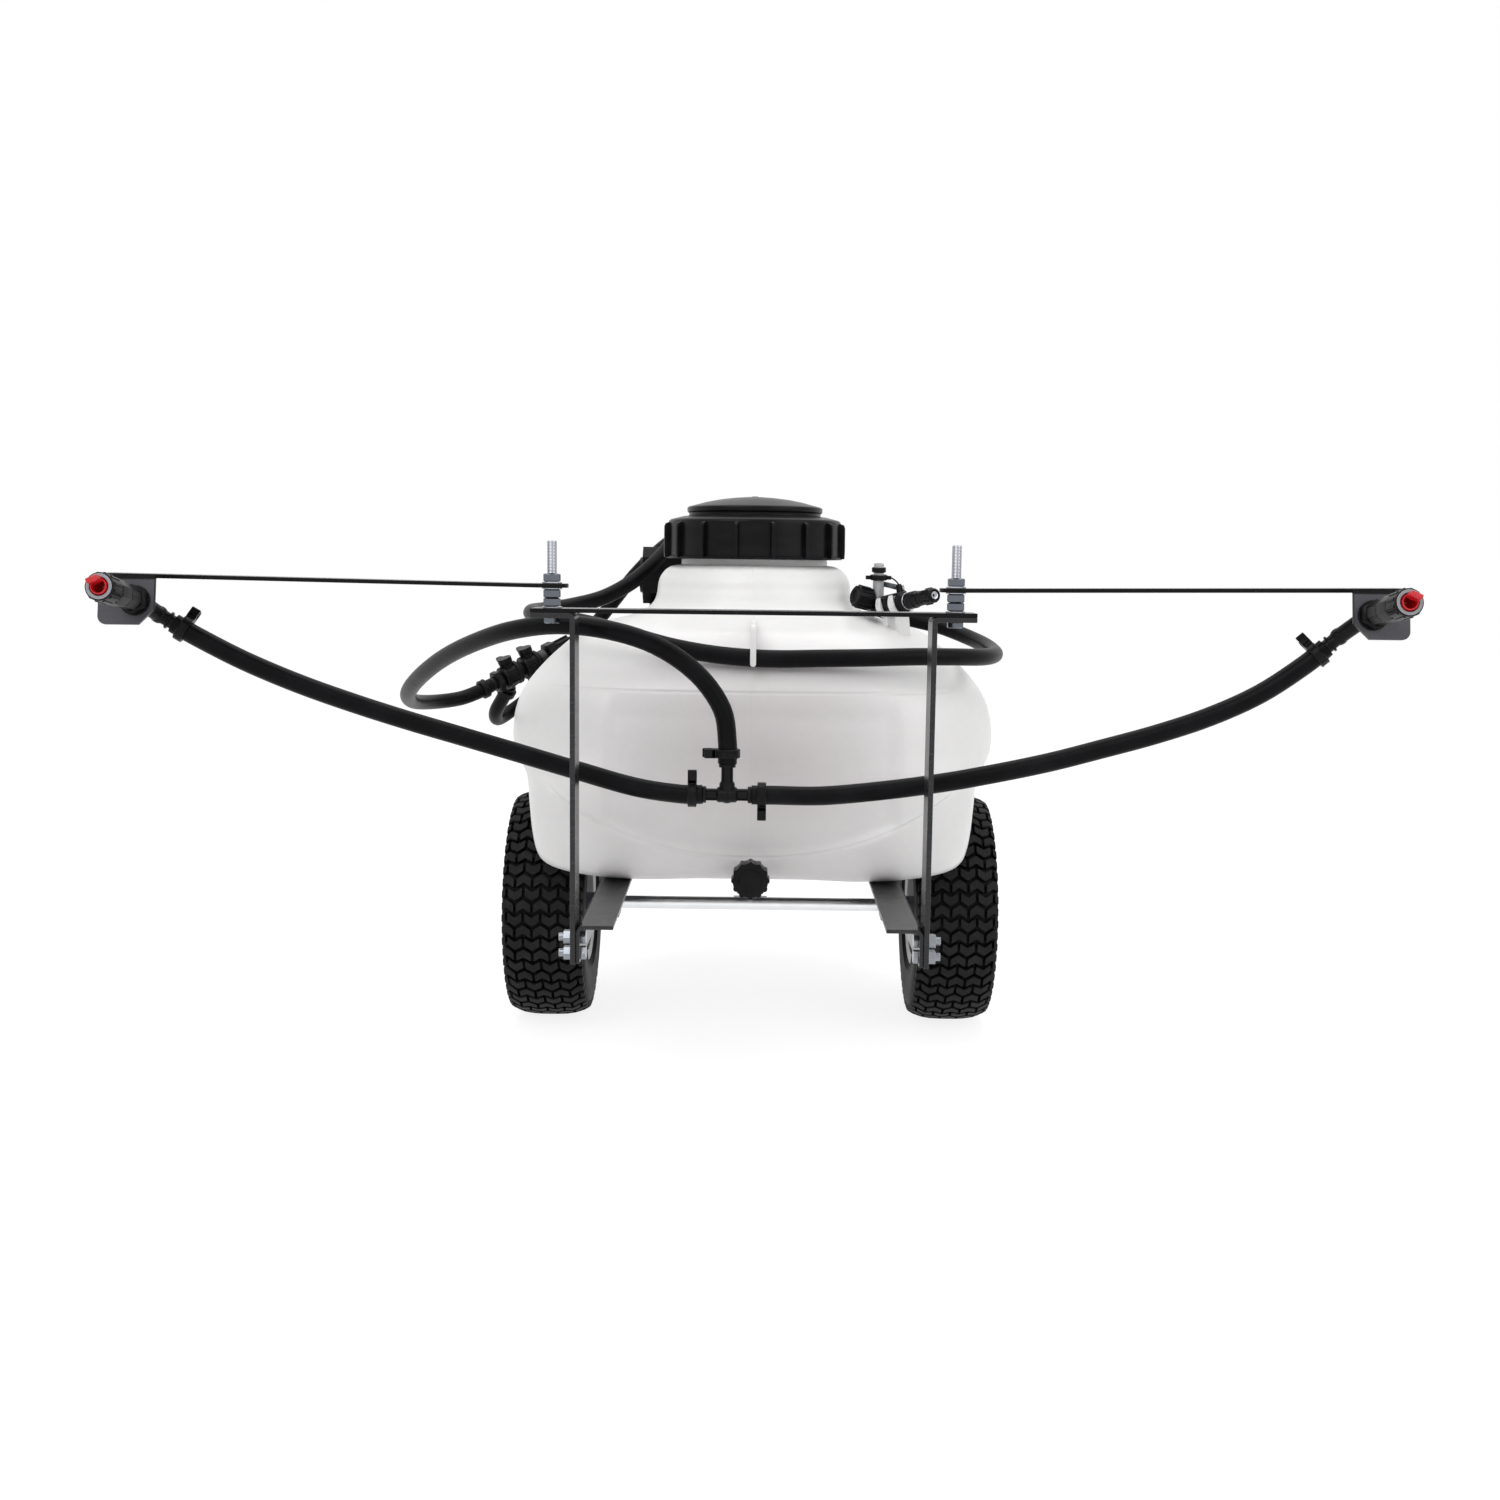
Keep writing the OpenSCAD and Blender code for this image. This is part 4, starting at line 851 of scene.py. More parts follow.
class Coats(Enum):
    """The finishes that the cart wears."""

    TANK = RotomouldedSkin("tank_polyethylene")
    RAIL = PowderCoat("charcoal_powder", colour=(0.0130, 0.0132, 0.0148), sheen=0.28, gloss=0.34)
    BAR = BentBarCoat("black_powder", colour=(0.0024, 0.0024, 0.0030), sheen=0.24, gloss=0.14)
    ZINC = ZincPlate("zinc_plate", colour=(0.27, 0.285, 0.31), roughness=0.20)
    NUTS = ZincPlate("blue_zinc", colour=(0.150, 0.165, 0.190), roughness=0.13)
    AXLE = ZincPlate("bright_axle", colour=(0.93, 0.94, 0.95), roughness=0.30,
                     grain=(60.0, 900.0, 900.0))
    STEEL = ZincPlate("polished_steel", colour=(0.42, 0.43, 0.47), roughness=0.15)
    FACE = PowderCoat("grey_retaining_ring", colour=(0.26, 0.26, 0.28), sheen=0.34, gloss=0.4)
    CLEAR = ClearTubing("clear_tubing")
    RIM = PowderCoat("rim_paint", colour=(0.46, 0.47, 0.49), sheen=0.32, pebble=900.0, gloss=0.45)
    NYLON = MouldedNylon("black_nylon")
    LID = MouldedNylon("lid_polypropylene", roughness=0.30, texture=500.0)
    RED = RedAcetal("red_acetal")
    HOSE = WrappedHoseRubber("hose_cover")
    TYRE = TyreRubber("tyre_tread_rubber")
    SEAL = GasketRubber("seal_rubber")


# ---------------------------------------------------------------- shaping


class Stock:
    """A bmesh that operators shape part by part, until it becomes a piece."""

    def __init__(self) -> None:
        """Start with nothing on the bench."""
        self.mesh = bmesh.new()

    def take(self, part: bmesh.types.BMesh, place: Matrix = HERE, heal: bool = True) -> "Stock":
        """Add a finished part and free it.

        Args:
            part: The part, drawn at its own origin.
            place: Where it goes.
            heal: Whether its doubles are merged and its faces turned outwards first.

        Returns:
            This stock.
        """
        if heal:
            bmesh.ops.remove_doubles(part, verts=part.verts, dist=1e-6)
            bmesh.ops.recalc_face_normals(part, faces=part.faces)
        bmesh.ops.transform(part, matrix=place, verts=part.verts)
        if place.determinant() < 0:
            bmesh.ops.reverse_faces(part, faces=part.faces)
        pour(part, self.mesh)
        return self

    def lathe(self, profile: Profile, place: Matrix = HERE, sides: int = 64,
              looped: bool = False) -> "Stock":
        """Spin a profile of (radius, height) points round Z.

        Args:
            profile: The profile's points, from foot to top on the outside.
            place: Where the part goes.
            sides: Number of facets round it.
            looped: Whether the profile closes on itself, as a ring's does.

        Returns:
            This stock.
        """
        part = bmesh.new()
        dots = [part.verts.new((radius, 0.0, height)) for radius, height in profile]
        pairs = list(zip(dots, dots[1:])) + ([(dots[-1], dots[0])] if looped else [])
        lines = [part.edges.new(pair) for pair in pairs]
        bmesh.ops.spin(part, geom=dots + lines, cent=(0, 0, 0), axis=(0, 0, 1), dvec=(0, 0, 0),
                       angle=2 * math.pi, steps=sides, use_merge=True)
        return self.take(part, place)

    def drum(self, radius: float, height: float, place: Matrix = HERE, edge: float = 0.0006,
             sides: int = 48) -> "Stock":
        """Add a solid cylinder that stands on Z = 0, with rounded rims.

        Args:
            radius: Its radius.
            height: Its height.
            place: Where the part goes.
            edge: Width of the rounding.
            sides: Number of facets round it.

        Returns:
            This stock.
        """
        e = min(edge, radius / 3, height / 3)
        return self.lathe(
            [(0, 0), (radius - e, 0), (radius - e * 0.3, e * 0.3), (radius, e),
             (radius, height - e), (radius - e * 0.3, height - e * 0.3), (radius - e, height),
             (0, height)], place, sides)

    def sleeve(self, outer: float, inner: float, height: float, place: Matrix = HERE,
               edge: float = 0.0005, sides: int = 48) -> "Stock":
        """Add a tube that stands on Z = 0, with rounded outer rims.

        Args:
            outer: Its outer radius.
            inner: Its inner radius.
            height: Its height.
            place: Where the part goes.
            edge: Width of the rounding.
            sides: Number of facets round it.

        Returns:
            This stock.
        """
        return self.lathe(
            [(inner, 0), (outer - edge, 0), (outer, edge), (outer, height - edge),
             (outer - edge, height), (inner, height)], place, sides, looped=True)

    def prism(self, outline: Profile, height: float, place: Matrix = HERE,
              edge: float = 0.0, segments: int = 2) -> "Stock":
        """Extrude a flat outline along Z and round its edges.

        Args:
            outline: The outline's corners in order.
            height: Length of the extrusion.
            place: Where the part goes.
            edge: Width of the rounding, or 0 for none.
            segments: Number of facets over the rounding.

        Returns:
            This stock.
        """
        part = bmesh.new()
        face = part.faces.new([part.verts.new((x, y, 0.0)) for x, y in outline])
        raised(part, [face], height)
        bmesh.ops.recalc_face_normals(part, faces=part.faces)
        if edge > 0:
            eased(part, creased(part, 30), edge, segments)
        return self.take(part, place)

    def block(self, size: Point, place: Matrix = HERE, edge: float = 0.0006,
              segments: int = 2) -> "Stock":
        """Add a box round the origin of its placing, with rounded edges.

        Args:
            size: Its lengths along the three axes.
            place: Where the part goes.
            edge: Width of the rounding.
            segments: Number of facets over the rounding.

        Returns:
            This stock.
        """
        part = bmesh.new()
        bmesh.ops.create_cube(part, size=1.0)
        bmesh.ops.scale(part, verts=part.verts, vec=size)
        eased(part, part.edges[:], edge, segments)
        return self.take(part, place)

    def hexagon(self, across: float, height: float, place: Matrix = HERE,
                bore: float = 0.0) -> "Stock":
        """Add a hexagon that stands on Z = 0, with its corners turned down as on a real nut.

        Args:
            across: Distance across the flats.
            height: Height of the hexagon.
            place: Where the part goes.
            bore: Radius of its hole, or 0 for a solid one.

        Returns:
            This stock.
        """
        part = bmesh.new()
        fall = min(across * 0.055, height * 0.16)
        bmesh.ops.create_circle(part, cap_ends=True, segments=6, radius=across / math.sqrt(3),
                                matrix=shifted(0, 0, fall))
        raised(part, part.faces[:], height - 2 * fall)
        bmesh.ops.recalc_face_normals(part, faces=part.faces)
        ends = [f for f in part.faces if abs(f.normal.z) > 0.9]
        bmesh.ops.inset_region(part, faces=ends, thickness=across * 0.085, depth=fall)
        if bore > 0:
            lids = [f for f in part.faces if abs(f.normal.z) > 0.99]
            bmesh.ops.inset_region(part, faces=lids, thickness=across / 2 * 0.86 - bore, depth=0.0)
            mouths = [f for f in part.faces if len(f.verts) == 6 and abs(f.normal.z) > 0.99]
            bmesh.ops.bridge_loops(part, edges=[e for f in mouths for e in f.edges])
            bmesh.ops.delete(part, geom=mouths, context="FACES")
        return self.take(part, place)

    def thread(self, radius: float, pitch: float, length: float, place: Matrix = HERE,
               steps: int = 20) -> "Stock":
        """Add a screw thread round Z, drawn by a spin that climbs.

        Args:
            radius: Radius over the crests.
            pitch: Climb of one turn.
            length: Length of the thread.
            place: Where the part goes.
            steps: Facets in one turn.

        Returns:
            This stock.
        """
        part = bmesh.new()
        root = radius - pitch * 0.14
        turns = int(length / pitch)
        dots = [part.verts.new(p) for p in
                ((root - 0.0002, 0, 0), (root, 0, pitch * 0.12), (radius, 0, pitch * 0.44),
                 (radius, 0, pitch * 0.60), (root, 0, pitch * 0.92))]
        lines = [part.edges.new(pair) for pair in zip(dots, dots[1:] + dots[:1])]
        bmesh.ops.spin(part, geom=dots + lines, cent=(0, 0, 0), axis=(0, 0, 1),
                       dvec=(0, 0, pitch / steps), angle=2 * math.pi * turns, steps=steps * turns,
                       use_merge=False)
        closed(part)
        return self.take(part, place)

    def tube(self, path: Sequence[Vector], radius: float, sides: int = 20,
             run: str = "") -> "Stock":
        """Extrude a ring along a path, with a UV map of the run where it is asked for.

        Args:
            path: The points of the tube's middle line.
            radius: Its radius.
            sides: Number of facets round it.
            run: Name of the UV map, whose U is metres along and V is turns round, or "" for none.

        Returns:
            This stock.
        """
        part = bmesh.new()
        chart = part.loops.layers.uv.new(run) if run else None
        last = len(path) - 1
        ways = [(path[min(i + 1, last)] - path[max(i - 1, 0)]).normalized()
                for i in range(last + 1)]
        side = ways[0].orthogonal().normalized()
        far, ring = 0.0, []
        for i, (point, way) in enumerate(zip(path, ways)):
            step = (point - path[i - 1]).length if i else 0.0
            side = (side - side.dot(way) * way).normalized()
            facing = Matrix((side, way.cross(side), way)).transposed().to_4x4()
            place = Matrix.Translation(point) @ facing
            drawn = bmesh.ops.create_circle(part, segments=sides, radius=radius, matrix=place)
            made = drawn["verts"]
            for k, face in enumerate(walled(part, ring, made)):
                spots = ((far, k), (far, k + 1), (far + step, k + 1), (far + step, k))
                for loop, (u, v) in zip(face.loops, spots if chart else ()):
                    loop[chart].uv = (u, v / sides)
            ring, far = made, far + step
        closed(part)
        bmesh.ops.recalc_face_normals(part, faces=part.faces)
        return self.take(part, heal=False)

    def rod(self, start: Point, end: Point, radius: float) -> "Stock":
        """Add a round bar from one point to another."""
        long = (Vector(end) - Vector(start)).length
        return self.drum(radius, long, aimed(start, end), sides=32)

    def ball(self, centre: Point, radius: float) -> "Stock":
        """Add a sphere.

        Args:
            centre: Its centre.
            radius: Its radius.

        Returns:
            This stock.
        """
        part = bmesh.new()
        bmesh.ops.create_uvsphere(part, u_segments=32, v_segments=16, radius=radius)
        return self.take(part, Matrix.Translation(centre))

    def elbow(self, start: Vector, hose: Sequence[Point], reach: float, bulb: float,
              collar: tuple[float, float, float, float]) -> "Stock":
        """Add a bent arm that ends in the barb of a hose.

        Args:
            start: Where the arm starts.
            hose: The hose's end and the point next to it, written from the axle.
            reach: How far the bend stands off the hose's end.
            bulb: Radius of the bend.
            collar: The barb's collar: its radius, height, distance from the hose and rounding.

        Returns:
            This stock.
        """
        end, after = (from_axle(point) for point in hose)
        way = (end - after).normalized()
        root = end + way * reach
        radius, height, gap, edge = collar
        self.rod(start, root, 0.0080).ball(root, bulb).rod(end + way * FIT, root, 0.0070)
        return self.drum(radius, height, aimed(end + way * gap, root), edge)

    def piece(self, name: str, body: str, coat: Coats, stands_for: Sequence[str] = (),
              slot: str = "", crease: float = 38.0, even: bool = True) -> bpy.types.Object:
        """Make the stock a piece of the cart.

        Args:
            name: The piece's name.
            body: The CAD body that it rides on, or "" for none.
            coat: Its finish.
            stands_for: The CAD nodes that it replaces.
            slot: The record's material slot; not used.
            crease: Faces that meet at more than this angle keep a crisp edge.
            even: Whether normals are weighted by face, so that flats stay flat.

        Returns:
            The new object.
        """
        made = shown(name, self.mesh)
        mesh = made.data
        mesh.shade_smooth()
        mesh.set_sharp_from_angle(angle=math.radians(crease))
        mesh.materials.append(coat.value.material())
        if even:
            weigh = made.modifiers.new("even_normals", "WEIGHTED_NORMAL")
            weigh.keep_sharp, weigh.weight = True, 80
        if body:
            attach(made, body)
        if stands_for:
            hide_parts(*stands_for)
        LOG.info("%s: %d faces on %s", name, len(mesh.polygons), body or "a blend")
        return made


class NodeDresser:
    """Gives the CAD's own nodes their finish, with edges eased on the ones that show."""

    def __init__(self, frame: dict) -> None:
        """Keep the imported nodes."""
        self.nodes: dict[str, bpy.types.Object] = frame["nodes"]

    def coat(self, name: str, coat: Coats) -> None:
        """Put a finish into a node's own material slots and leave its mesh alone."""
        for place in self.nodes[name].material_slots:
            place.material = coat.value.material()

    def ease(self, name: str, coat: Coats, slot: str, width: float) -> None:
        """Replace a node with a merged copy whose edges are rounded where they turn sharply.

        Args:
            name: The CAD node.
            coat: Its finish.
            slot: The record's material slot.
            width: Width of the rounding.
        """
        node = self.nodes[name]
        part = bmesh.new()
        part.from_mesh(node.data)
        bmesh.ops.remove_doubles(part, verts=part.verts, dist=2e-6)
        bmesh.ops.dissolve_limit(part, angle_limit=math.radians(1.0), verts=part.verts,
                                 edges=part.edges)
        eased(part, creased(part, 35), width)
        stock = Stock().take(part, heal=False)
        stock.piece(name + "_eased", node["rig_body"], coat, (name,), slot, 50.0)


# ---------------------------------------------------------------- studio


@dataclass(frozen=True)
class SoftBox:
    """One square lamp that faces a point."""

    name: str
    place: Point
    at: Point
    size: float
    power: float

    def hang(self) -> None:
        """Hang the lamp."""
        data = bpy.data.lights.new(self.name, "AREA")
        data.size, data.energy = self.size, self.power
        lamp = bpy.data.objects.new(self.name, data)
        lamp.location = self.place
        way = Vector(self.at) - Vector(self.place)
        lamp.rotation_euler = way.to_track_quat("-Z", "Y").to_euler()
        bpy.context.scene.collection.objects.link(lamp)


@dataclass
class Studio:
    """The camera, lamps, floor and white surroundings."""

    eye: Point = (0.0, -2.1295, 0.569)
    down: float = 6.8
    roll: float = 0.7
    yaw: float = 0.072
    lens: float = 38.4
    sensor: float = 36.0
    near: float = 0.05
    far: float = 60.0
    ambient: float = 0.50
    paper_half: float = 14.0
    paper_white: float = 0.93
    paper_glow: float = 1.28
    paper_share: float = 0.66
    lamps: Sequence[SoftBox] = (
        SoftBox("key_soft_box", (-1.6, -2.6, 2.9), (0.0, -0.1, 0.35), 2.4, 46.0),
        SoftBox("fill_soft_box", (2.4, -2.0, 1.9), (0.0, -0.1, 0.35), 2.2, 26.0),
        SoftBox("top_soft_box", (0.0, 0.3, 3.2), (0.0, 0.0, 0.3), 3.0, 40.0),
    )

    def build(self) -> None:
        """Set the whole studio up."""
        self.camera()
        self.surroundings()
        self.floor()
        for lamp in self.lamps:
            lamp.hang()
        bpy.context.scene.view_settings.view_transform = "Standard"

    def camera(self) -> None:
        """Place the camera."""
        data = bpy.data.cameras.new("camera")
        data.lens, data.sensor_width = self.lens, self.sensor
        data.clip_start, data.clip_end = self.near, self.far
        eye = bpy.data.objects.new("camera", data)
        eye.matrix_world = (Matrix.Translation(self.eye) @ turned(self.yaw, "Z")
                            @ turned(90.0 - self.down, "X") @ turned(self.roll, "Z"))
        bpy.context.scene.collection.objects.link(eye)
        bpy.context.scene.camera = eye

    def backdrop_rays(self, graph: Graph) -> Signal:
        """Tell the rays that should see the white background from the rest.

        Args:
            graph: The node tree that asks.

        Returns:
            1 for those rays.
        """
        rays = graph.node("ShaderNodeLightPath")
        seen = Signal(graph, rays.outputs["Is Camera Ray"])
        for name in ("Is Glossy Ray", "Is Transmission Ray"):
            seen = seen.above(Signal(graph, rays.outputs[name]))
        return seen

    def surroundings(self) -> None:
        """Make the world white to the eye and an even dim light to the cart."""
        world = bpy.data.worlds.new("studio_air")
        bpy.context.scene.world = world
        graph = Graph(world)
        seen = self.backdrop_rays(graph)
        back = graph.node("ShaderNodeBackground", None, {
            "Color": (1.0, 1.0, 1.0, 1.0),
            "Strength": seen * (1.0 - self.ambient) + self.ambient,
        })
        graph.node("ShaderNodeOutputWorld", None, {"Surface": back.outputs[0]})

    def floor(self) -> None:
        """Lay a pale floor that keeps the cart's shadow."""
        part = bmesh.new()
        bmesh.ops.create_grid(part, x_segments=1, y_segments=1, size=self.paper_half)
        floor = shown("studio_floor", part)
        paper = bpy.data.materials.new("studio_paper")
        graph = Graph(paper)
        pale = (self.paper_white, self.paper_white, self.paper_white, 1.0)
        matt = graph.node("ShaderNodeBsdfDiffuse", None, {"Color": pale})
        glow = graph.node("ShaderNodeEmission", None,
                          {"Color": (1.0, 1.0, 1.0, 1.0), "Strength": self.paper_glow})
        share = self.backdrop_rays(graph) * self.paper_share
        mixed = graph.node("ShaderNodeMixShader", None,
                           {0: share, 1: matt.outputs[0], 2: glow.outputs[0]})
        graph.node("ShaderNodeOutputMaterial", None, {"Surface": mixed.outputs[0]})
        floor.data.materials.append(paper)
        floor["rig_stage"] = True


# ---------------------------------------------------------------- hoses


class Lay(Enum):
    """How a hose lies."""

    HANGING = "hanging"
    COILED = "coiled"


@dataclass
class HoseRun:
    """One hose from fitting to fitting. Its route and its blend are written from the axle."""

    node: str
    route: Sequence[Point]
    between: int = 5
    lay: Lay = Lay.HANGING
    folds_with: str = ""
    blend_from: Point = (0.0, 0.0, 0.0)
    blend_to: Point = (0.0, 0.0, 0.0)
    stiffness: str = "medium"
    radius: float = 0.00975

    def build(self) -> bpy.types.Object:
        """Sweep the hose and measure its length; let it ride on the chassis, or bake its place into
        its mesh where folds_with names a boom.

        Returns:
            The hose.
        """
        knots = [from_axle(p) for p in self.route]
        line = spline(knots, self.between)
        stock = Stock().tube(line, self.radius, 28, "HoseRun")
        body = "" if self.folds_with else "chassis"
        hose = stock.piece(self.node + "_run", body, Coats.HOSE, (self.node,), "hose_rubber",
                           even=False)
        length = sum((b - a).length for a, b in zip(line, line[1:]))
        if self.folds_with:
            from_axle(self.blend_from)
            from_axle(self.blend_to)
            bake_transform(hose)
        return hose


SUPPLY_ROUTE = [
    (-0.025, -0.355, 0.362), (-0.025, -0.355, 0.382), (-0.031, -0.356, 0.418),
    (-0.057, -0.359, 0.454), (-0.098, -0.364, 0.482), (-0.146, -0.367, 0.497),
    (-0.198, -0.354, 0.501), (-0.250, -0.318, 0.493), (-0.298, -0.262, 0.477),
    (-0.342, -0.196, 0.457), (-0.380, -0.126, 0.434), (-0.410, -0.056, 0.412),
    (-0.430, 0.018, 0.394), (-0.437, 0.090, 0.381), (-0.426, 0.152, 0.375),
    (-0.399, 0.195, 0.376), (-0.376, 0.211, 0.384), (-0.361, 0.222, 0.392),
]
BOOM_LEFT_ROUTE = [
    (-0.050, -0.355, 0.330), (-0.072, -0.355, 0.330), (-0.120, -0.355, 0.337),
    (-0.183, -0.358, 0.355), (-0.240, -0.362, 0.372), (-0.294, -0.366, 0.388),
    (-0.344, -0.371, 0.403), (-0.396, -0.377, 0.420), (-0.450, -0.385, 0.440),
    (-0.502, -0.393, 0.463), (-0.547, -0.399, 0.487), (-0.568, -0.402, 0.500),
]
BOOM_RIGHT_ROUTE = [
    (0.000, -0.355, 0.330), (0.022, -0.355, 0.330), (0.072, -0.355, 0.330),
    (0.130, -0.357, 0.336), (0.190, -0.360, 0.345), (0.245, -0.364, 0.356),
    (0.300, -0.369, 0.369), (0.352, -0.374, 0.384), (0.404, -0.380, 0.400),
    (0.455, -0.386, 0.419), (0.502, -0.393, 0.443), (0.543, -0.399, 0.473),
    (0.561, -0.402, 0.490),
]
GUN_ROUTE = [
    (0.150, 0.012, 0.517), (0.148, 0.033, 0.517), (0.152, 0.070, 0.512),
    (0.172, 0.098, 0.503), (0.205, 0.106, 0.494), (0.240, 0.092, 0.486),
    (0.270, 0.058, 0.475), (0.286, 0.010, 0.467), (0.289, -0.042, 0.462),
    (0.282, -0.096, 0.461), (0.262, -0.142, 0.461), (0.226, -0.178, 0.463),
    (0.180, -0.201, 0.464), (0.128, -0.214, 0.463), (0.074, -0.219, 0.462),
    (0.020, -0.220, 0.461), (-0.034, -0.219, 0.464), (-0.086, -0.218, 0.472),
    (-0.134, -0.212, 0.484), (-0.180, -0.196, 0.495), (-0.222, -0.166, 0.501),
    (-0.252, -0.122, 0.503), (-0.262, -0.070, 0.504), (-0.252, -0.018, 0.505),
    (-0.226, 0.028, 0.509), (-0.190, 0.064, 0.519), (-0.154, 0.092, 0.540),
    (-0.124, 0.118, 0.568), (-0.106, 0.146, 0.592), (-0.102, 0.174, 0.600),
    (-0.102, 0.195, 0.600),
]
FEED_ROUTE = [
    (-0.340, 0.258, 0.389), (-0.351, 0.269, 0.371), (-0.364, 0.288, 0.350),
    (-0.366, 0.316, 0.337), (-0.352, 0.342, 0.345), (-0.318, 0.358, 0.372),
    (-0.280, 0.362, 0.412), (-0.244, 0.362, 0.456), (-0.208, 0.360, 0.500),
    (-0.172, 0.352, 0.545), (-0.136, 0.332, 0.580), (-0.110, 0.298, 0.598),
    (-0.102, 0.276, 0.600), (-0.102, 0.258, 0.600),
]


class HoseSet:
    """The five hoses of the cart."""

    def build(self) -> None:
        """Lay every hose."""
        for hose in (
            HoseRun("supply_hose", SUPPLY_ROUTE),
            HoseRun("feed_hose", FEED_ROUTE),
            HoseRun("gun_hose", GUN_ROUTE, lay=Lay.COILED),
            HoseRun("boom_hose_left", BOOM_LEFT_ROUTE, 6, folds_with="boom_left",
                    blend_from=(-0.130, -0.355, 0.340), blend_to=(-0.520, -0.395, 0.470)),
            HoseRun("boom_hose_right", BOOM_RIGHT_ROUTE, 6, folds_with="boom_right",
                    blend_from=(0.100, -0.355, 0.335), blend_to=(0.515, -0.395, 0.450)),
        ):
            hose.build()


# ---------------------------------------------------------------- tank


@dataclass
class Tank:
    """The rotomoulded tank with its arches, pump pad, neck and drain spout."""

    foot: float = 0.210
    width: float = 0.586
    length: float = 0.490
    height: float = 0.352
    neck_r: float = 0.089
    neck_top: float = 0.596
    collar_r: float = 0.118
    arch_r: float = 0.158
    arch_x: float = 0.184
    arch_deep: float = 0.200
    pad: Profile = ((0.140, 0.492), (0.274, 0.492), (0.290, 0.478), (0.237, 0.400), (0.140, 0.400))
    pad_wide: float = 0.220
    pad_left: float = -0.160
    spout_r: float = 0.016
    spout_y: float = -0.262
    spout_z: float = 0.222
    sides: int = 144
    voxel: float = 0.0042
    panel_half: float = 0.150
    shelf_z: float = 0.4290
    shelf_spread: float = 0.0100
    shelf_rise: float = 0.0012
    feet_rise: float = 0.0024
    panel_fall: float = 0.0072
    ledge_fall: float = 0.0024

    def levels(self) -> list[tuple[float, float, float, float]]:
        """List the levels that the tank's form is drawn through.

        Returns:
            Each level's share of the height, half width, half length and squareness.
        """
        w, n, r, c = self.width, self.length, self.neck_r, self.collar_r
        return [
            (0.000, w * 0.312, n * 0.392, 4.8), (0.012, w * 0.350, n * 0.434, 5.6),
            (0.034, w * 0.392, n * 0.468, 6.6), (0.065, w * 0.415, n * 0.485, 7.6),
            (0.140, w * 0.428, n * 0.493, 7.8), (0.235, w * 0.436, n * 0.496, 7.2),
            (0.300, w * 0.442, n * 0.498, 6.2), (0.335, w * 0.452, n * 0.499, 5.2),
            (0.368, w * 0.472, n * 0.500, 4.2), (0.402, w * 0.485, n * 0.500, 3.5),
            (0.440, w * 0.489, n * 0.500, 3.2), (0.510, w * 0.486, n * 0.495, 3.0),
            (0.580, w * 0.470, n * 0.482, 2.9), (0.650, w * 0.438, n * 0.455, 2.75),
            (0.715, w * 0.398, n * 0.416, 2.65), (0.775, w * 0.352, n * 0.366, 2.5),
            (0.802, w * 0.308, n * 0.330, 2.3), (0.826, w * 0.252, n * 0.284, 2.15),
            (0.856, c + 0.009, c + 0.008, 2.05), (0.892, c + 0.001, c + 0.001, 2.0),
            (0.945, c - 0.001, c - 0.001, 2.0), (0.974, c - 0.007, c - 0.007, 2.0),
            (0.991, c - 0.014, c - 0.014, 2.0), (1.000, r + 0.007, r + 0.007, 2.0),
        ]

    def form(self) -> bmesh.types.BMesh:
        """Draw a ring level by level into the closed outer form.

        Returns:
            The form.
        """
        part = bmesh.new()
        ring: list[bmesh.types.BMVert] = []
        for share, half_w, half_l, square in spline([Vector(level) for level in self.levels()], 4):
            made = bmesh.ops.create_circle(part, segments=self.sides, radius=1.0)["verts"]
            for vert in made:
                angle = math.atan2(vert.co.y, vert.co.x)
                c, s = math.cos(angle), math.sin(angle)
                reach = (abs(c / half_w) ** square + abs(s / half_l) ** square) ** (-1.0 / square)
                vert.co = from_axle((reach * c, reach * s, self.foot + share * self.height))
            walled(part, ring, made)
            ring = made
        closed(part)
        bmesh.ops.recalc_face_normals(part, faces=part.faces)
        return part

    def rounded(self, body: bpy.types.Object, adds: bpy.types.Object,
                cuts: bpy.types.Object) -> bpy.types.Mesh:
        """Join and cut the form, then melt its edges as a moulding's are.

        Args:
            body: The tank's main form.
            adds: The pad and the spout.
            cuts: The wheel arches.

        Returns:
            The new mesh.
        """
        for other, operation in ((adds, "UNION"), (cuts, "DIFFERENCE")):
            work = body.modifiers.new(operation, "BOOLEAN")
            work.operation, work.object, work.solver = operation, other, "EXACT"
        grid = body.modifiers.new("grid", "REMESH")
        grid.mode, grid.voxel_size, grid.use_smooth_shade = "VOXEL", self.voxel, True
        ease = body.modifiers.new("ease", "SMOOTH")
        ease.factor, ease.iterations = 0.5, 9
        seen = body.evaluated_get(bpy.context.evaluated_depsgraph_get())
        mesh = bpy.data.meshes.new_from_object(seen)
        for item in (body, adds, cuts):
            bpy.data.objects.remove(item)
        return mesh

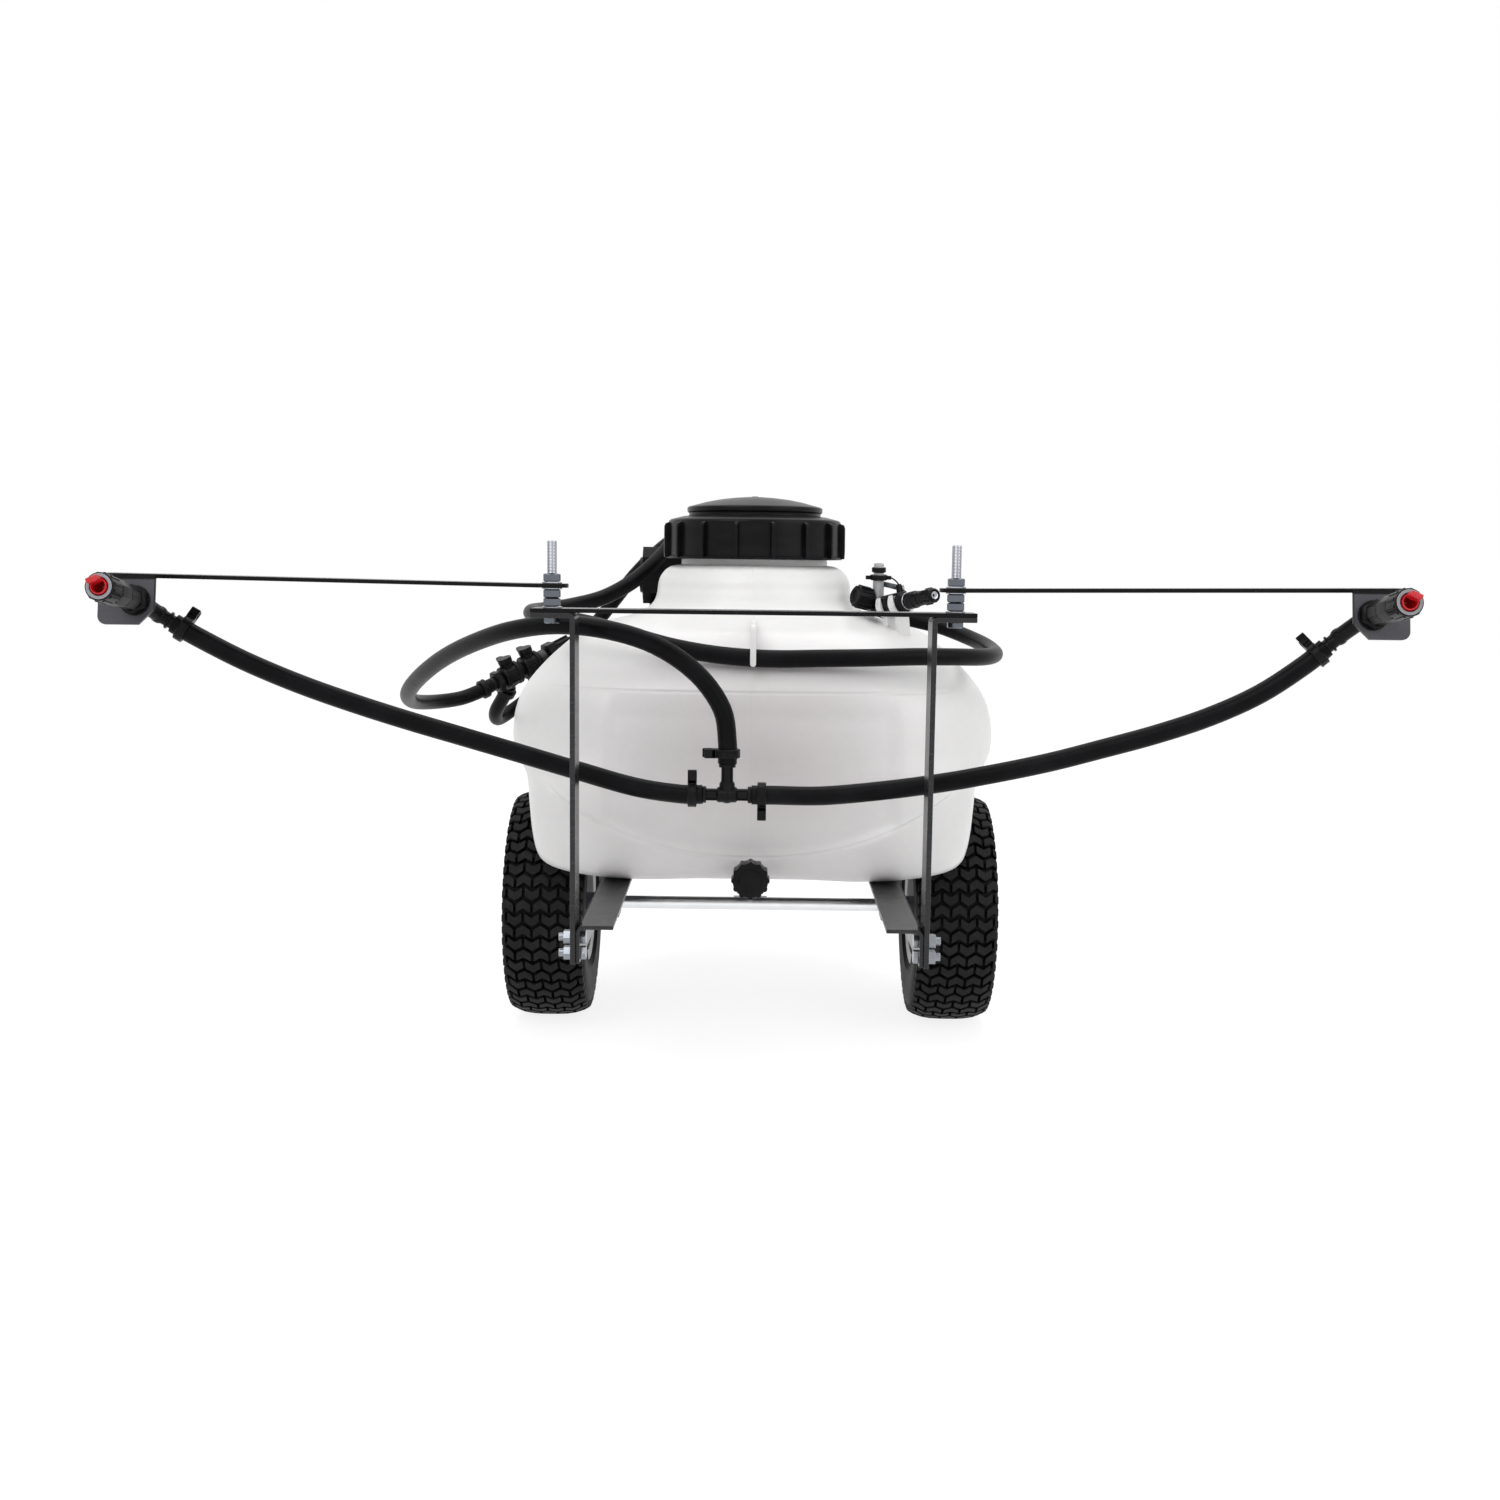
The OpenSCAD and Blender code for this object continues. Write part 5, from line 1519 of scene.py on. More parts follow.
    def relief(self, x: float, y: float, z: float) -> float:
        """Work out how far the rear skin stands out at a point, for its panel, shelf and smile.

        Args:
            x: The point's X.
            y: Its Y.
            z: Its height.

        Returns:
            How far it moves outwards.
        """
        behind = AXLE_Y - y
        rear = smooth_step(0.10, 0.19, behind)
        side = abs(x)
        smile = SMILE_Z + SMILE_RISE * (side / SMILE_HALF) ** SMILE_POWER
        below = 1 - smooth_step(-0.004, 0.010, z - smile)
        panel = 1 - smooth_step(self.panel_half, self.panel_half + 0.017, side)
        panel *= (1 - below) * (1 - smooth_step(0.394, 0.428, z))
        shelf = math.exp(-((z - self.shelf_z) / self.shelf_spread) ** 2)
        shelf *= 1 - smooth_step(0.21, 0.26, side)
        feet = below * smooth_step(0.05, 0.13, side) * (1 - smooth_step(0.235, 0.255, side))
        ledge = smooth_step(0.5290, 0.5335, z) * (1 - smooth_step(0.551, 0.557, z))
        ledge *= smooth_step(0.0, 0.05, behind)
        out = self.shelf_rise * shelf + self.feet_rise * feet - self.panel_fall * panel
        return rear * out - self.ledge_fall * ledge

    def build(self) -> None:
        """Shape the tank, press its relief and add the neck."""
        body = shown("tank_form", self.form())
        onto_x = Matrix(((0, 0, 1, self.pad_left), (1, 0, 0, AXLE_Y), (0, 1, 0, 0), (0, 0, 0, 1)))
        adds = Stock().prism(self.pad, self.pad_wide, onto_x, 0.006, 3)
        spout = shifted(0, AXLE_Y + self.spout_y, self.spout_z) @ turned(-90, "X")
        adds.drum(self.spout_r, 0.060, spout, 0.001)
        cuts = Stock()
        for start in (-self.arch_x - self.arch_deep, self.arch_x):
            arch = shifted(start, AXLE_Y, TYRE_R) @ turned(90, "Y")
            cuts.drum(self.arch_r, self.arch_deep, arch, 0.001, 128)
        mesh = self.rounded(body, shown("tank_adds", adds.mesh), shown("tank_cuts", cuts.mesh))
        part = bmesh.new()
        part.from_mesh(mesh)
        bpy.data.meshes.remove(mesh)
        part.normal_update()
        for vert in part.verts:
            out = self.relief(*vert.co)
            if abs(out) > 1e-6:
                vert.co += vert.normal * out
        skin = Stock().take(part, heal=False)
        skin.piece("tank_shell", "chassis", Coats.TANK, ("tank",), "tank_plastic", 180.0,
                   even=False)
        self.neck()

    def neck(self) -> None:
        """Turn the filler neck with its open mouth."""
        r, top, low = self.neck_r, self.neck_top, self.foot + self.height - 0.012
        ring = Stock().lathe(
            [(r - 0.005, low), (r + 0.001, low), (r + 0.0003, low + 0.010), (r, low + 0.013),
             (r, top - 0.002), (r - 0.001, top), (r - 0.004, top), (r - 0.005, top - 0.001)],
            shifted(0, AXLE_Y, 0), 128, looped=True)
        ring.piece("tank_neck", "chassis", Coats.TANK, slot="tank_plastic")


# ---------------------------------------------------------------- wheels


@dataclass
class TurfTyre:
    """A turf tyre: a spun carcass under rows of interlocking bent blocks."""

    side: int
    body: str
    node: str
    bead_r: float = 0.0635
    groove: float = 0.0066
    rows: int = 58
    spacing: float = 0.0205
    arm: float = 0.0034
    thick: float = 0.0106
    gap: float = 0.0026
    edge: float = 0.0470
    corner: float = 0.0012
    blunt: float = 0.0008
    trim: float = 0.0009
    taper: float = 0.96
    sunk: float = 0.0030

    def crown(self, across: float) -> float:
        """Return the tread's outer radius at a distance from its middle."""
        return TYRE_R - CROWN_FALL * (abs(across) / TREAD_HALF) ** CROWN_POWER

    def hub(self) -> Matrix:
        """Place a wheel that is drawn round Z onto its axle."""
        return shifted(self.side * WHEEL_X, AXLE_Y, TYRE_R) @ turned(90, "Y")

    def carcass(self, stock: Stock) -> None:
        """Spin the carcass with its sidewalls, bead rings and hollow.

        Args:
            stock: The stock that takes it.
        """
        r, w, b = TYRE_R, TREAD_HALF, self.bead_r
        steps = [i / 10 * (w - 0.0035) for i in range(-10, 11)]
        outside = [(self.crown(across) - self.groove, across) for across in steps]
        right = [(r - 0.0195, w - 0.0012), (r - 0.026, w - 0.0004), (b + 0.046, w),
                 (b + 0.030, w - 0.0008), (b + 0.0225, w - 0.0022), (b + 0.0205, w - 0.0012),
                 (b + 0.0180, w - 0.0012), (b + 0.0160, w - 0.0036), (b + 0.0105, w - 0.0072),
                 (b + 0.0090, w - 0.0085), (b + 0.0004, w * 0.80)]
        inner = [(b + 0.0004, w * 0.64), (b + 0.024, w - 0.009), (r - 0.026, w - 0.010),
                 (r - 0.019, w * 0.59), (r - 0.0135, w * 0.18)]
        left, back = ([(x, -y) for x, y in reversed(half)] for half in (right, inner))
        stock.lathe(left + outside + right + inner + back, self.hub(), 120, looped=True)

    def bend(self, across: float) -> float:
        """Return how far a row's zig-zag runs ahead at a distance from the tread's middle."""
        share = across / self.spacing
        return self.arm * (4 * abs(share - round(share)) - 1)

    def spans(self, odd: int) -> list[tuple[float, float]]:
        """Return where the blocks of a row start and end, so that the rows' joints alternate.

        Args:
            odd: 0 for an even row, 1 for an odd one.

        Returns:
            The start and end of each block across the tread.
        """
        half = (self.spacing - self.gap) / 2
        middles = [(k + odd / 2) * self.spacing for k in range(-3, 3 + 1 - odd)]
        cut = [(max(m - half, -self.edge), min(m + half, self.edge)) for m in middles]
        return [(start, end) for start, end in cut if end - start > self.gap]

    def block(self, start: float, end: float) -> bmesh.types.BMesh:
        """Shape one bent block in the unrolled tread.

        Args:
            start: Where it starts across the tread.
            end: Where it ends across the tread.

        Returns:
            The block: X runs round the tyre, Y across it and Z outwards.
        """
        ease, blunt = self.corner, self.blunt
        turns = [k * self.spacing / 2 for k in range(-5, 6)]
        turns = [turn for turn in turns if start + 2 * ease < turn < end - 2 * ease]
        bends = [turn + side for turn in turns for side in (-blunt, blunt)]
        part = bmesh.new()
        low, high = [], []
        for y in (start, start + ease, *bends, end - ease, end):
            trim = self.trim if y in (start, end) else 0.0
            low.append(part.verts.new((self.bend(y) - self.thick / 2 + trim, y, 0.0)))
            high.append(part.verts.new((self.bend(y) + self.thick / 2 - trim, y, 0.0)))
        face = part.faces.new(low + high[::-1])
        top = raised(part, [face], 1.0)
        bmesh.ops.scale(part, verts=top, vec=(self.taper, self.taper, 1.0),
                        space=shifted(0, -(start + end) / 2, 0))
        return part

    def tread(self, stock: Stock) -> None:
        """Wrap the rows of blocks round the carcass.

        Args:
            stock: The stock that takes the blocks.
        """
        pitch = 2 * math.pi / self.rows
        part = bmesh.new()
        for row in range(self.rows):
            for start, end in self.spans(row % 2):
                block = self.block(start, end)
                for vert in block.verts:
                    y = vert.co.y
                    reach = self.crown(min(abs(y), TREAD_HALF))
                    reach -= 0.0 if vert.co.z > 0.5 else self.groove + self.sunk
                    angle = row * pitch + vert.co.x / TYRE_R
                    vert.co = Vector((reach * math.cos(angle), reach * math.sin(angle), y))
                pour(block, part)
        bmesh.ops.recalc_face_normals(part, faces=part.faces)
        rims = [e for e in creased(part, 40)
                if min(v.co.xy.length - self.crown(v.co.z) for v in e.verts) > -0.001]
        eased(part, rims, 0.0004, 1, clamp=True)
        stock.take(part, self.hub(), heal=False)

    def build(self) -> None:
        """Make the tyre."""
        stock = Stock()
        self.carcass(stock)
        self.tread(stock)
        stock.piece(self.node + "_turf", self.body, Coats.TYRE, (self.node,), "tyre_rubber", 42.0)


# ---------------------------------------------------------------- lid


@dataclass
class ScrewLid:
    """The ribbed screw lid of the filler neck."""

    foot: float = 0.569
    height: float = 0.048
    radius: float = 0.1115
    bore: float = 0.08905
    neck_top: float = 0.596
    ribs: int = 16
    rib_wide: float = 0.0044

    def build(self) -> None:
        """Spin the lid and set its grip ribs."""
        skirt, low, top = self.radius - 0.0062, self.foot, self.foot + self.height
        disc = self.radius * 0.735
        profile = [
            (self.bore, low), (self.bore + 0.001, low - 0.0004), (skirt + 0.0012, low),
            (skirt + 0.0018, low + 0.0008), (skirt + 0.0018, low + 0.0030), (skirt, low + 0.0038),
            (skirt - 0.0003, top - 0.0050), (skirt - 0.0009, top - 0.0024),
            (skirt - 0.0030, top - 0.0008), (skirt - 0.0060, top),
            (disc + 0.0058, top + 0.0030), (disc + 0.0006, top + 0.0036),
            (disc - 0.0016, top + 0.0042), (disc - 0.0020, top + 0.0052),
            (disc - 0.0016, top + 0.0072), (disc - 0.0002, top + 0.0080),
            (disc + 0.0003, top + 0.0092), (disc + 0.0004, top + 0.0128),
            (disc - 0.0004, top + 0.0142), (disc - 0.0024, top + 0.0151),
            (disc * 0.90, top + 0.0166), (disc * 0.72, top + 0.0206),
            (disc * 0.52, top + 0.0238), (disc * 0.30, top + 0.0260), (disc * 0.12, top + 0.0270),
            (0.0046, top + 0.0272), (0.0036, top + 0.0278), (0.0, top + 0.0279),
        ]
        under = [(0.0, self.neck_top + 0.003), (self.bore, self.neck_top + 0.003)]
        middle = shifted(0, AXLE_Y, 0)
        stock = Stock().lathe(profile + under, middle, 160, looped=True)
        rib = [(skirt - 0.004, low + 0.0012), (self.radius - 0.0004, low + 0.0012),
               (self.radius, low + 0.0100), (self.radius - 0.0002, top - 0.0100),
               (self.radius - 0.0016, top - 0.0060), (skirt - 0.004, top - 0.0030)]
        on_edge = Matrix(((1, 0, 0, 0), (0, 0, -1, self.rib_wide / 2), (0, 1, 0, 0), (0, 0, 0, 1)))
        for spoke in around(middle, self.ribs, 0, 0, 180.0 / self.ribs):
            stock.prism(rib, self.rib_wide, spoke @ on_edge, 0.0009)
        stock.piece("lid_screw_cap", "lid", Coats.LID, ("lid",), "black_plastic", 40.0)


# ---------------------------------------------------------------- boom fasteners


class Fastener(Enum):
    """What is put on a pivot bolt."""

    WASHER = "washer"
    NUT = "nut"


@dataclass
class PivotStack:
    """The threaded pivot bolt of one boom arm, with its nuts and washers from the bottom up."""

    side: int
    x: float = 0.195
    boom_y: float = -0.420
    flange_z: float = 0.511
    crossbar_top: float = 0.520
    arm_z: float = 0.5395
    arm_t: float = 0.004
    bolt_r: float = 0.00475
    top: float = 0.5845
    pitch: float = 0.0014
    below: Sequence[tuple[Fastener, float]] = (
        (Fastener.WASHER, 0.0015), (Fastener.NUT, 0.0082), (Fastener.NUT, 0.0082),
        (Fastener.WASHER, 0.0015))
    above: Sequence[tuple[Fastener, float]] = ((Fastener.WASHER, 0.0015), (Fastener.NUT, 0.0080))

    def place(self, z: float) -> Matrix:
        """Place a part of the stack at a height."""
        return shifted(self.side * self.x, self.boom_y + AXLE_Y, z)

    def build(self, bolts: Stock, nuts: Stock, washers: Stock) -> None:
        """Add this side's bolt, nuts and washers to the stocks of both sides.

        Args:
            bolts: The stock of the bolts.
            nuts: The stock of the nuts and of the bolts' heads.
            washers: The stock of the washers.
        """
        r, start, foot = self.bolt_r, self.crossbar_top, self.place(self.flange_z)
        nuts.hexagon(0.0147, 0.0059, self.place(self.flange_z - 0.0059))
        bolts.drum(r - 0.00022, self.top - self.flange_z, foot, 0.0008)
        bolts.thread(r, self.pitch, self.top - start - 0.0024, self.place(start + 0.001))
        bolts.drum(r - FIT, start - self.flange_z, foot, 0.0002)
        for z, stack in ((start, self.below), (self.arm_z + self.arm_t + 0.0001, self.above)):
            for kind, height in stack:
                if kind is Fastener.WASHER:
                    washers.sleeve(1.02 * 2 * r, r + FIT, height, self.place(z), 0.0003)
                else:
                    nuts.hexagon(0.0156, height - 0.0002, self.place(z + 0.0001), r + FIT)
                z += height


# ---------------------------------------------------------------- plumbing


@dataclass
class HoseClamp:
    """A nylon pinch clamp: a band whose two jaws are locked by pliers."""

    start: Point
    towards: Point
    turn: float
    inner: float = 0.01015
    wall: float = 0.0030
    width: float = 0.0090
    inset: float = 0.006
    teeth: int = 9

    def build(self, stock: Stock) -> None:
        """Add the band, its serrated back and its hooked jaws.

        Args:
            stock: The stock that takes the clamp.
        """
        start, towards = from_axle(self.start), from_axle(self.towards)
        way = (towards - start).normalized()
        foot = start + way * self.inset
        place = aimed(foot, foot + (towards - start), self.turn)
        outer, w = self.inner + self.wall, self.width
        stock.sleeve(outer - 0.0004, self.inner, w, place, 0.0006)
        for end in (0.0004, w - 0.0022):
            stock.sleeve(outer, outer - 0.0012, 0.0018, place @ shifted(0, 0, end), 0.0004)
        stock.block((0.0150, 0.0046, w), place @ shifted(0, self.inner + 0.0036, w / 2), 0.0009)
        hook = [(0.0035, 0.0108), (0.0075, 0.0108), (0.0075, 0.0240), (0.0062, 0.0256),
                (0.0020, 0.0256), (0.0014, 0.0236), (0.0036, 0.0226), (0.0036, 0.0170),
                (0.0028, 0.0160)]
        stock.prism(hook, w, place, 0.0005, 1)
        stock.prism([(-x, y - 0.0022 * (y > 0.02)) for x, y in reversed(hook)], w, place, 0.0005, 1)
        for i in range(self.teeth):
            back = place @ turned(70 + 27.5 * i, "Z") @ shifted(outer - 0.0006, 0, w / 2)
            stock.block((0.0010, 0.0012, w * 0.52), back, 0.0002, 1)


class ClampSet:
    """Every hose clamp of the cart."""

    def build(self) -> None:
        """Add the clamps, sorted by the body that carries them."""
        sets = {
            ("tee_clamps", "chassis"): (
                (BOOM_LEFT_ROUTE[:2], 90.0), (BOOM_RIGHT_ROUTE[:2], -90.0),
                (SUPPLY_ROUTE[:2], 90.0)),
            ("manifold_clamps", "chassis"): (
                (SUPPLY_ROUTE[:-3:-1], 200.0), (FEED_ROUTE[:2], 90.0)),
            ("nozzle_clamp_left", "boom_left"): ((BOOM_LEFT_ROUTE[:-3:-1], 60.0),),
            ("nozzle_clamp_right", "boom_right"): ((BOOM_RIGHT_ROUTE[:-3:-1], 120.0),),
        }
        for (node, body), clamps in sets.items():
            stock = Stock()
            for (start, towards), turn in clamps:
                HoseClamp(start, towards, turn).build(stock)
            stock.piece(node + "_nylon", body, Coats.NYLON, (node,), "black_plastic", 35.0)


@dataclass
class BoomTee:
    """The tee that feeds both halves of the boom, with its barbs and collars."""

    centre: Point = (-0.025, -0.355, 0.330)
    pipe_r: float = 0.0065

    def arm(self, stock: Stock, end: Point) -> None:
        """Add one webbed arm with a collar where the hose stops.

        Args:
            stock: The stock that takes it.
            end: Where the hose stops.
        """
        a, b = from_axle(self.centre), from_axle(end)
        long, place = (b - a).length, aimed(a, b)
        r = self.pipe_r
        stock.lathe([(0, 0), (r + 0.0016, 0), (r + 0.0014, long * 0.36), (r - 0.0004, long * 0.44),
                     (r - 0.0004, long - 0.0042), (r + 0.0020, long - 0.0036),
                     (r + 0.0022, long - 0.0008), (r + 0.0016, long), (0, long)], place, 32)
        for web in around(place, 4, r + 0.0002, long * 0.48, 45):
            stock.block((0.0014, 0.0014, long * 0.86), web, 0.0003, 1)

    def build(self) -> None:
        """Add the three arms and the hub."""
        stock = Stock().ball(from_axle(self.centre), self.pipe_r + 0.0025)
        for end in (BOOM_LEFT_ROUTE[0], BOOM_RIGHT_ROUTE[0], SUPPLY_ROUTE[0]):
            self.arm(stock, end)
        stock.piece("boom_tee_barbed", "chassis", Coats.NYLON, ("boom_tee",), "black_plastic", 35.0)


@dataclass
class FloodNozzle:
    """One boom nozzle: the body through the tab, its cap ring and its red flood tip."""

    side: int
    hose: Sequence[Point]
    tab: Point = (0.598, -0.439, 0.54845)
    tilt: float = 10.0
    along: float = -0.009
    drop: float = 0.026
    stem_r: float = 0.00798
    stem_in: float = 0.022
    bar_t: float = 0.004

    def frame(self) -> Matrix:
        """Place the nozzle.

        Returns:
            Its placing, whose +Z runs back from the tab.
        """
        right = (Matrix.Translation(from_axle(self.tab)) @ turned(-self.tilt, "X")
                 @ shifted(self.along, 0, -self.drop) @ turned(90, "X"))
        return right if self.side > 0 else Matrix.Scale(-1, 4, (1, 0, 0)) @ right

    def build(self) -> None:
        """Make the body, the pale ring in its cap and the tip."""
        name = "left" if self.side < 0 else "right"
        body = Stock()
        at = self.frame()
        body.drum(self.stem_r, self.stem_in + 0.030, at @ shifted(0, 0, -self.stem_in))
        body.drum(0.0145, 0.0030, at @ shifted(0, 0, 0.00002), 0.0007)
        body.hexagon(0.025, 0.0090, at @ shifted(0, 0, 0.003))
        body.hexagon(0.024, 0.0060, at @ shifted(0, 0, -self.bar_t - 0.006))
        body.lathe([(0.0, 0.012), (0.0104, 0.012), (0.0116, 0.0135), (0.0116, 0.0345),
                    (0.0108, 0.0358), (0.0108, 0.0376), (0.0128, 0.0388), (0.0131, 0.0410),
                    (0.0131, 0.0590), (0.0122, 0.0618), (0.0040, 0.0618), (0.0040, 0.0300),
                    (0.0, 0.0300)], at @ turned(22.5, "Z"), 8)
        body.lathe([(0.0080, 0.0640), (0.0122, 0.0640), (0.0131, 0.0650), (0.0133, 0.0668),
                    (0.0133, 0.0836), (0.0129, 0.0854), (0.0121, 0.0860), (0.0117, 0.0856),
                    (0.0086, 0.0852), (0.0080, 0.0846)], at, 48, looped=True)
        for rib in around(at, 12, 0.0129, 0.0736, 15):
            body.block((0.0024, 0.0030, 0.0178), rib, 0.0006)
        knee = at @ Vector((0, 0, -self.stem_in))
        body.ball(knee, 0.0098)
        body.elbow(knee, self.hose, 0.016, 0.0088, (0.0090, 0.0022, 0.004, 0.0004))
        carrier = "boom_" + name
        body.piece(f"nozzle_body_{name}_moulded", carrier, Coats.NYLON, ("nozzle_body_" + name,),
                   "black_plastic", 35.0)
        ring = Stock().lathe([(0.0087, 0.0853), (0.0117, 0.0857), (0.0118, 0.0861),
                              (0.0113, 0.0865), (0.0092, 0.0865), (0.0087, 0.0861)], at, 48,
                             looped=True)
        ring.piece("nozzle_ring_" + name, carrier, Coats.FACE, slot="black_plastic")
        tip = Stock().lathe([(0.0, 0.0622), (0.0072, 0.0622), (0.0078, 0.0630), (0.0078, 0.0868),
                             (0.0072, 0.0880), (0.0064, 0.0880), (0.0060, 0.0872), (0.0054, 0.0760),
                             (0.0028, 0.0712), (0.0, 0.0705)], at, 40)
        lip = [(-0.0055, 0.0040), (-0.0045, 0.0022), (0.0045, 0.0022), (0.0055, 0.0040),
               (0.0055, 0.0078), (-0.0055, 0.0078)]
        tip.prism(lip, 0.0118, at @ turned(-24, "Z") @ shifted(0, 0, 0.0862), 0.0009)
        tip.piece(f"nozzle_tip_{name}_flood", carrier, Coats.RED, ("nozzle_tip_" + name,),
                  "red_plastic", 35.0)


@dataclass
class Manifold:
    """The valve manifold: two valve bodies in line, a hex union and the feed barb."""

    lever_at: Sequence[float] = (0.034, 0.068)
    long: float = 0.112
    pipe_r: float = 0.0095
    body_r: float = 0.0145
    ring_r: float = 0.0165

    def frame(self) -> Matrix:
        """Place the manifold.

        Returns:
            Its placing, whose +X runs along it from the supply hose's end.
        """
        start, before = from_axle(SUPPLY_ROUTE[-1]), from_axle(SUPPLY_ROUTE[-2])
        way = (start - before).normalized()
        return (Matrix.Translation(start) @ turned(math.degrees(math.atan2(way.y, way.x)), "Z")
                @ turned(-math.degrees(math.asin(way.z)), "Y"))

    def build(self) -> None:
        """Make the manifold."""
        stock, at = Stock(), self.frame()
        lying = at @ turned(90, "Y")
        p, b, r = self.pipe_r, self.body_r, self.ring_r
        profile = [(0, 0.0002), (p - 0.001, 0.0002), (p, 0.0012), (p, 0.0200)]
        half = [(p, -0.0130), (r - 0.0008, -0.0130), (r, -0.0122), (r, -0.0080),
                (r - 0.0008, -0.0070), (b, -0.0066)]
        valve = half + [(radius, -x) for radius, x in reversed(half)]
        for x in self.lever_at:
            profile += [(radius, x + along) for radius, along in valve]
        profile += [(p, self.long - 0.001), (0.0060, self.long - 0.0002),
                    (0.0060, self.long + 0.0066), (0.0056, self.long + 0.0070),
                    (0, self.long + 0.0070)]
        stock.lathe(profile, lying, 48)
        stock.hexagon(0.028, 0.010, lying @ shifted(0, 0, 0.008))
        stock.hexagon(0.032, 0.016, lying @ shifted(0, 0, self.long - 0.016))
        for x in self.lever_at:
            stock.lathe([(0, 0), (0.0090, 0), (0.0090, 0.0162), (0.0096, 0.0170), (0.0096, 0.0182),
                         (0.0088, 0.0190), (0.0040, 0.0190), (0.0040, 0.0221), (0.0036, 0.0225),
                         (0, 0.0225)], at @ shifted(x, 0, 0), 40)
            for i, rib in enumerate(around(lying @ shifted(0, 0, x), 10, b + 0.0002, 0, 18)):
                if i not in (0, 5):
                    stock.block((0.0016, 0.0030, 0.0126), rib, 0.0005)
            for screw in around(lying @ shifted(0, 0, x - 0.0138), 4, 0.0124, 0, 45):
                stock.drum(0.0022, 0.0276, screw, 0.0005, 16)
        plug = self.lever_at[1]
        stock.drum(0.0082, 0.0150, at @ shifted(plug, 0, -0.0240), 0.0006, 32)
        stock.hexagon(0.0190, 0.0078, at @ shifted(plug, 0, -0.0245))
        end, after = from_axle(FEED_ROUTE[0]), from_axle(FEED_ROUTE[1])
        way = (end - after).normalized()
        root, valve_at = end + way * 0.012, at @ Vector((self.lever_at[0], 0, 0))
        stock.rod(end + way * FIT, end + way * 0.014, 0.0075)
        stock.rod(root, valve_at, 0.0090)
        stock.drum(0.0108, 0.0040, aimed(root, valve_at), 0.0008)
        stock.piece("manifold_moulded", "chassis", Coats.NYLON, ("manifold",), "black_plastic",
                    35.0)


@dataclass
class DrainCap:
    """The round-ribbed cap of the drain spout."""

    outer_y: float = -0.266
    height: float = 0.222
    radius: float = 0.0210
    bore: float = 0.01605
    long: float = 0.024
    rib_r: float = 0.0031

    def build(self) -> None:
        """Turn the cap, sink its face and set its grip ribs."""
        stock = Stock()
        at = shifted(0, AXLE_Y + self.outer_y, self.height) @ turned(-90, "X")
        r, b = self.radius - 0.0016, self.bore
        stock.lathe([(0, 0.0024), (0.0110, 0.0024), (0.0122, 0.0020), (0.0132, 0.0006),
                     (0.0142, 0.0), (0.0168, 0.0), (0.0182, 0.0006), (r, 0.0024),
                     (r, self.long - 0.0010), (r - 0.0008, self.long), (b, self.long),
                     (b, 0.0035), (0, 0.0035)], at, 72)
        for rib in around(at, 12, self.radius - self.rib_r, 0.0004):
            stock.drum(self.rib_r, self.long - 0.0008, rib, 0.0010, 20)
        stock.piece("drain_cap_ribbed", "drain_cap", Coats.NYLON, ("drain_cap",), "black_plastic",
                    40.0)


